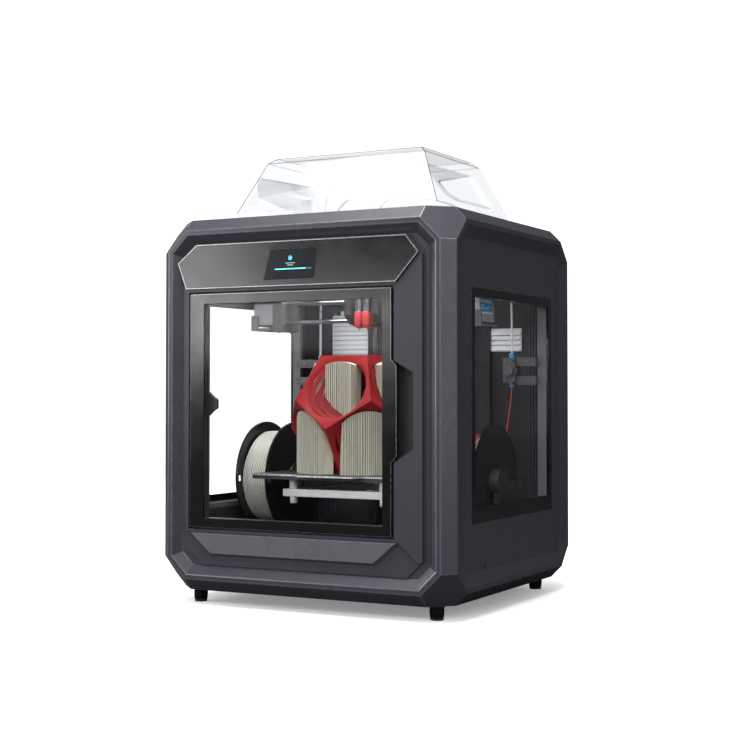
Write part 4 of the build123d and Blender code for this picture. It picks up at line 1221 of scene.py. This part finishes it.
class PRINTER_OT_sample(bpy.types.Operator):
    """Build the red sample print and its cream supports"""

    bl_idname = "printer.sample"
    bl_label = "Sample print"

    def execute(self, context):
        job = settings("print")
        foot = corners("printed_part")[0].z
        size = job.inradius
        middle = Vector((job.centre_x, job.centre_y, foot + size))
        red = finish("layered_red", job.plastic, rough=0.52, mottle=0.12, patch=14, layers=0.8, specular=0.22)
        cage = Form()
        add_cage(cage, middle, size, job.window, job.wall)
        inner_reds_shaded = []
        for n in range(1, job.nested + 1):
            share = NESTED_SHARE ** n
            first = len(cage.faces)
            add_cage(cage, middle, size * share, NESTED_WINDOW, 2.6 * share + 0.8,
                     math.radians(NESTED_TURN * n), 40)
            cage.finish_of[first:] = [n] * (len(cage.faces) - first)
            # Each smaller cage is painted darker, by 0.84 a step: painted shade for the cages deeper inside.
            inner_reds_shaded.append(finish("layered_red_%d" % n, [c * 0.84 ** n for c in job.plastic],
                                     rough=0.55, mottle=0.12, patch=12, layers=0.8, specular=0.2))
        made = cage.piece("sample_cage", None, [red] + inner_reds_shaded, weld=True, crease=28)
        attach(made, "bed")
        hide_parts("printed_part")
        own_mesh(made)
        cream = finish("layered_cream", job.support, rough=0.55, mottle=0.12, patch=7, layers=0.8,
                       stretch=(1, 1, 0.15))
        dice = random.Random(11)
        columns = Form()
        rise = math.atan2(1, 2)
        opening = size * job.window
        low_height = middle.z - size * math.sin(rise)
        high_height = middle.z + size * math.sin(rise)
        for n in range(5):
            turn = math.radians(-54 + 72 * n)
            reach = size * math.cos(rise) + opening * math.sin(rise) - 3.5
            outline = ribbed_outline(reach, 40, 46, dice, 0.0052)
            pillar(columns, outline, foot,
                   lambda b: arch_height(b, opening, low_height, math.cos(rise)) - 0.6,
                   turn, Vector((middle.x, middle.y, 0)))
            turn = math.radians(-90 + 72 * n)
            reach = size * math.cos(rise) - opening * math.sin(rise) + 14
            outline = ribbed_outline(reach, 30, 27, dice)
            pillar(columns, outline, low_height + 8,
                   lambda b: arch_height(b, opening, high_height, math.cos(rise)) - 7.0,
                   turn, Vector((middle.x, middle.y, 0)))
        # The fold floors are the cream at 0.62: painted shade in the narrow folds.
        fold_shade = finish("support_fold_shade", [0.62 * c for c in job.support], rough=0.6, mottle=0.12, patch=7)
        made = columns.piece("sample_supports", None, [cream, fold_shade], crease=25)
        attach(made, "bed")
        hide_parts("print_supports")
        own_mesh(made)
        return {"FINISHED"}


# ---- spools and filament --------------------------------------------------------------------
class PRINTER_OT_spools(bpy.types.Operator):
    """Build both spools with their wound filament, and finish the holders"""

    bl_idname = "printer.spools"
    bl_label = "Spools"

    def execute(self, context):
        spool = settings("spool")
        dress("spool_holders", liner_finish(), 1.0)
        black = finish("spool_black", spool.flange, rough=0.34, mottle=0.2, patch=30)
        y0, z0, radius = 8.0, 205.0, 100.0
        for side, name, colour in ((-1, "left", spool.left), (1, "right", spool.right)):
            reel = Form()
            for inner, outer in ((166.0, 169.5), (228.5, 232.0)):
                rim = circle(radius, 96, (y0, z0))
                holes = [circle(31, 40, (y0, z0), 0.02)]
                for angle in (86, 95):
                    a = math.radians(angle)
                    holes.append(circle(2.4, 14, (y0 + 94 * math.cos(a), z0 + 94 * math.sin(a))))
                holes.append(oblong(y0 - 98 + 4, y0 - 98 + 14, z0 - 6, z0 + 5, 2, 3))
                low, high = sorted((side * inner, side * outer))
                reel.prism(rim, "x", low, high, holes)
                reel.pipe("x", (y0, z0), radius, radius - 2.2, low - 0.5, high + 0.5, 96)
                for n in range(3):
                    a = math.radians(30 + 120 * n)
                    reel.pipe("x", (y0 + 62 * math.cos(a), z0 + 62 * math.sin(a)), 9, 8, low - 0.25,
                              high + 0.25, 28)
            low, high = sorted((side * 166.0, side * 232.0))
            reel.pipe("x", (y0, z0), 36, 27, low + 0.2, high - 0.2, 56)
            reel.piece("spool_reel_" + name, "spool_" + name, [black], ["spool_" + name], "spool_black_cream",
                       bevel=0.35)
            wound = Form()
            first, last, steps = 170.0, 228.0, 84
            turns = int((last - first) / spool.pitch)
            shape = ((0.0, -1.5), (0.16, -0.1), (0.5, 0.6), (0.84, -0.1))
            rings = []
            dice = random.Random(7 + side)
            lift = [dice.uniform(-0.35, 0.35) for _ in range(turns + 2)]
            for n in range(turns):
                for part, bump in shape:
                    ring = []
                    for k in range(steps):
                        angle = 2 * math.pi * k / steps
                        sway = spool.pitch * 0.9 * math.sin(angle * 2 + 0.5)
                        along = first + (n + part) * spool.pitch + sway
                        along = min(max(along, first), last)
                        swell = 1.0 - ((along - 199.0) / 29.0) ** 2 * 0.9
                        r = 81.2 + bump * 0.9 + lift[n] + swell
                        ring.append((side * along, y0 + r * math.cos(angle), z0 + r * math.sin(angle)))
                    rings.append(ring)
            wound.loft(rings, caps=True)
            # The dip between turns takes a finish at 0.35 of the filament colour: painted shade in the
            # grooves of the winding.
            for n in range(len(rings) - 1):
                if n % 4 in (0, 3):
                    wound.finish_of[n * steps:(n + 1) * steps] = [1] * steps
            thread = finish("filament_" + name, colour, rough=0.34, coat=0.25, mottle=0.10, patch=5)
            groove_shade = finish("groove_shade_" + name, [0.35 * c for c in colour], rough=0.6, mottle=0.1, patch=5)
            wound.piece("spool_winding_" + name, "spool_" + name, [thread, groove_shade], slot="filament",
                        crease=60)
        return {"FINISHED"}


def feed_tube(name, points, side):
    tube = along_curve(name, [(side * x, y, z) for x, y, z in points], 2.0, 16)
    milky = finish("tube_milky", (0.93, 0.93, 0.92), rough=0.28, mottle=0.03, patch=20, alpha=0.5)
    tube.data.materials.append(milky)
    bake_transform(tube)
    return tube


class PRINTER_OT_tubes(bpy.types.Operator):
    """Run the feed tubes and the free strands of filament"""

    bl_idname = "printer.tubes"
    bl_label = "Tubes and strands"

    def execute(self, context):
        bend, crown = (168, 128, 662), (44, -6, 708)
        rear = [(201, 160, 424), (201, 160, 490), (201, 160, 555), (192, 152, 612), bend, (130, 92, 696),
                (88, 46, 710), crown]
        front = [crown, (26, -8, 702), (13, -9, 680), (8, -12, 646), (8, -26, 604), (8, -34, 561)]
        for side, name in ((-1, "left"), (1, "right")):
            feed_tube("rear_tube_" + name, rear, side)
            feed_tube("front_tube_" + name, front, side)
        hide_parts("tube_rear_spans")
        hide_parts("tube_front_spans")
        spool = settings("spool")
        low, high = corners("filament_strands")
        for side, name, colour in ((-1, "left", spool.left), (1, "right", spool.right)):
            path = ((low.y + 1.0, low.z), (98.5, 214), (124.0, 270), (152.0, 330), (160.0, high.z))
            points = [(side * 201, y, z) for y, z in path]
            strand = along_curve("strand_" + name, points, 0.9, 12)
            strand.data.materials.append(finish("filament_" + name, colour))
            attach(strand, "casing")
            if side > 0:
                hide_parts("filament_strands")
        return {"FINISHED"}


# ---- rear -----------------------------------------------------------------------------------
class PRINTER_OT_rear(bpy.types.Operator):
    """Finish the rear vent, fan, guard, inlet, rocker and screws"""

    bl_idname = "printer.rear"
    bl_label = "Rear fittings"

    def execute(self, context):
        dress("rear_vent_louvre", louvre_finish(), 0.4)
        dress("exhaust_fan", finish("fan_black", (0.02, 0.02, 0.021), rough=0.35, mottle=0.2, patch=12),
              0.25)
        for node in ("fan_guard", "power_inlet"):
            dress(node, carriage_finish(), 0.35)
        dress("power_switch", finish("rocker_black", (0.015, 0.015, 0.016), rough=0.25, coat=0.4), 0.4)
        dress("casing_screws", screw_finish(), 0.2)
        board = finish("circuit_green", (0.03, 0.09, 0.05), rough=0.45, mottle=0.3, patch=6)
        dress("electronics", board, 0.3)
        marks = Form()
        x, z = 170.0, 143.0
        marks.prism(rectangle(x - 0.4, x + 0.4, z - 5.6, z - 2.4), "y", 252.4, 252.55)
        ring = (x, z + 4.0)
        marks.prism(circle(1.6, 24, ring), "y", 252.4, 252.55, [circle(1.15, 24, ring)])
        white = finish("mark_white", (0.8, 0.8, 0.8), rough=0.5, mottle=0.05, patch=2)
        marks.piece("rocker_marks", "power_switch", [white], slot="rocker")
        return {"FINISHED"}


# ---- stage ----------------------------------------------------------------------------------
FLOOR_RADIUS = 9000
SKY = (0.93, 0.95, 1.0)


def soft_light(name, place, target, size, power):
    lamp = bpy.data.lights.new(name, "AREA")
    lamp.shape = "RECTANGLE"
    lamp.size, lamp.size_y = size
    lamp.energy = power
    made = bpy.data.objects.new(name, lamp)
    made.location = place
    made.rotation_mode = "QUATERNION"
    made.rotation_quaternion = (Vector(target) - Vector(place)).to_track_quat("-Z", "Y")
    bpy.context.scene.collection.objects.link(made)
    return made


def floor_finish(colour):
    """Pale floor that meets the white surround, glows less near the object as a painted soft shadow, and
    sends little light back up to the object.
    """
    r = Recipe("studio_floor")
    shader = r.node("ShaderNodeBsdfPrincipled")
    shader.inputs["Roughness"].default_value = 0.8
    shader.inputs["Specular IOR Level"].default_value = 0.1
    shade = r.blend(r.spread(r.noise(900.0, 2.0), 0, 1), tone(colour, 0.99), tone(colour, 1.01))
    r.link(shade, shader.inputs["Base Color"])
    # The floor's glow rises with distance from the middle: weaker near the object, a painted soft shadow
    # round its foot.
    reach = r.node("ShaderNodeVectorMath", operation="LENGTH")
    r.link(r.place, reach.inputs[0])
    glow_painted_shadow = r.node("ShaderNodeMapRange", interpolation_type="SMOOTHSTEP")
    for key, value in (("From Min", 0.22), ("From Max", 0.66), ("To Min", 0.24), ("To Max", 1.15)):
        glow_painted_shadow.inputs[key].default_value = value
    r.link(reach.outputs["Value"], glow_painted_shadow.inputs["Value"])
    lit = r.node("ShaderNodeEmission")
    r.link(glow_painted_shadow.outputs["Result"], lit.inputs["Strength"])
    both = r.node("ShaderNodeAddShader")
    r.link(shader.outputs[0], both.inputs[0])
    r.link(lit.outputs[0], both.inputs[1])
    dull = r.node("ShaderNodeBsdfDiffuse")
    dull.inputs["Color"].default_value = (0.10, 0.10, 0.104, 1.0)
    path = r.node("ShaderNodeLightPath")
    mixed = r.node("ShaderNodeMixShader")
    r.link(path.outputs["Is Camera Ray"], mixed.inputs["Fac"])
    r.link(dull.outputs[0], mixed.inputs[1])
    r.link(both.outputs[0], mixed.inputs[2])
    r.link(mixed.outputs[0], r.output.inputs["Surface"])
    return r.material


class PRINTER_OT_stage(bpy.types.Operator):
    """Make the pale floor, the studio light and the camera"""

    bl_idname = "printer.stage"
    bl_label = "Stage"

    def execute(self, context):
        stage = settings("stage")
        floor = Form().prism(circle(FLOOR_RADIUS, 64), "z", -12, 0)
        ground = floor.piece("studio_floor", None, [floor_finish(stage.floor)])
        world = bpy.data.worlds.new("studio")
        world.use_nodes = True
        context.scene.world = world
        tree = world.node_tree
        tree.nodes.clear()
        path = tree.nodes.new("ShaderNodeLightPath")
        shades = []
        for colour, strength in (((1, 1, 1), 1.3), (SKY, stage.ambient), (SKY, stage.mirrored)):
            shade = tree.nodes.new("ShaderNodeBackground")
            shade.inputs["Color"].default_value = colour + (1.0,)
            shade.inputs["Strength"].default_value = strength
            shades.append(shade)
        seen = shades[0].outputs[0]
        for ray, shade in (("Is Diffuse Ray", shades[1]), ("Is Glossy Ray", shades[2])):
            mixed = tree.nodes.new("ShaderNodeMixShader")
            tree.links.new(path.outputs[ray], mixed.inputs["Fac"])
            tree.links.new(seen, mixed.inputs[1])
            tree.links.new(shade.outputs[0], mixed.inputs[2])
            seen = mixed.outputs[0]
        output = tree.nodes.new("ShaderNodeOutputWorld")
        tree.links.new(seen, output.inputs["Surface"])
        soft_light("overhead", (-0.1, -0.7, 2.7), (0, 0, 0.4), (2.2, 1.8), 108)
        soft_light("key_front", (1.1, -2.9, 1.75), (0, 0, 0.35), (1.5, 1.3), 44)
        soft_light("side_left", (-2.6, -0.7, 0.75), (0, 0, 0.3), (1.2, 1.1), 30)
        soft_light("softbox_left", (-2.3, -2.35, 1.02), (-0.1, -0.25, 0.5), (1.45, 1.15), 28)
        soft_light("softbox_low", (-1.35, -3.0, 0.62), (0, -0.26, 0.52), (1.5, 0.22), 6.0)
        soft_light("strip_right", (2.4, -1.25, 0.9), (0.27, -0.25, 0.4), (0.28, 1.7), 17)
        soft_light("rear_soft", (-1.8, 2.4, 1.7), (0, 0, 0.4), (1.2, 1.6), 22)
        glow = soft_light("chamber_glow", (0.0, -0.10, 0.60), (0, -0.02, 0.1), (0.36, 0.16), 0.8)
        glow.visible_camera = False
        lens = bpy.data.cameras.new("camera")
        lens.sensor_width = 36.0
        lens.lens = stage.lens
        lens.shift_x, lens.shift_y = 0.005, -0.039
        camera = bpy.data.objects.new("camera", lens)
        camera.location = (1.235, -2.319, 0.364)
        yaw, pitch = math.radians(stage.yaw), math.radians(stage.pitch)
        ahead = Vector((-math.sin(yaw) * math.cos(pitch), math.cos(yaw) * math.cos(pitch), math.sin(pitch)))
        camera.rotation_mode = "QUATERNION"
        camera.rotation_quaternion = ahead.to_track_quat("-Z", "Y")
        context.scene.collection.objects.link(camera)
        context.scene.camera = camera
        context.scene.view_settings.view_transform = "Standard"
        return {"FINISHED"}


OPERATORS = (
    PRINTER_OT_stage, PRINTER_OT_casing, PRINTER_OT_lining, PRINTER_OT_feet, PRINTER_OT_controls,
    PRINTER_OT_door, PRINTER_OT_windows, PRINTER_OT_hood, PRINTER_OT_rods, PRINTER_OT_motors,
    PRINTER_OT_carriages, PRINTER_OT_head, PRINTER_OT_bed, PRINTER_OT_sample, PRINTER_OT_spools,
    PRINTER_OT_tubes, PRINTER_OT_rear,
)


class PRINTER_PT_panel(bpy.types.Panel):
    """The printer's builders and settings"""

    bl_idname = "PRINTER_PT_panel"
    bl_label = "Filament printer"
    bl_space_type = "VIEW_3D"
    bl_region_type = "UI"
    bl_category = "Printer"

    def draw(self, context):
        for operator in OPERATORS:
            self.layout.operator(operator.bl_idname)
        for name in GROUPS:
            box = self.layout.box()
            group = getattr(context.scene, name)
            for field in group.bl_rna.properties:
                if field.identifier not in ("rna_type", "name"):
                    box.prop(group, field.identifier)


def register():
    for group in GROUPS.values():
        bpy.utils.register_class(group)
    for name, group in GROUPS.items():
        setattr(bpy.types.Scene, name, PointerProperty(type=group))
    for operator in OPERATORS:
        bpy.utils.register_class(operator)
    bpy.utils.register_class(PRINTER_PT_panel)


def unregister():
    bpy.utils.unregister_class(PRINTER_PT_panel)
    for operator in reversed(OPERATORS):
        bpy.utils.unregister_class(operator)
    for name, group in GROUPS.items():
        delattr(bpy.types.Scene, name)
        bpy.utils.unregister_class(group)


def main():
    register()
    for operator in OPERATORS:
        family, call = operator.bl_idname.split(".")
        getattr(getattr(bpy.ops, family), call)()


if __name__ == "__main__":
    main()
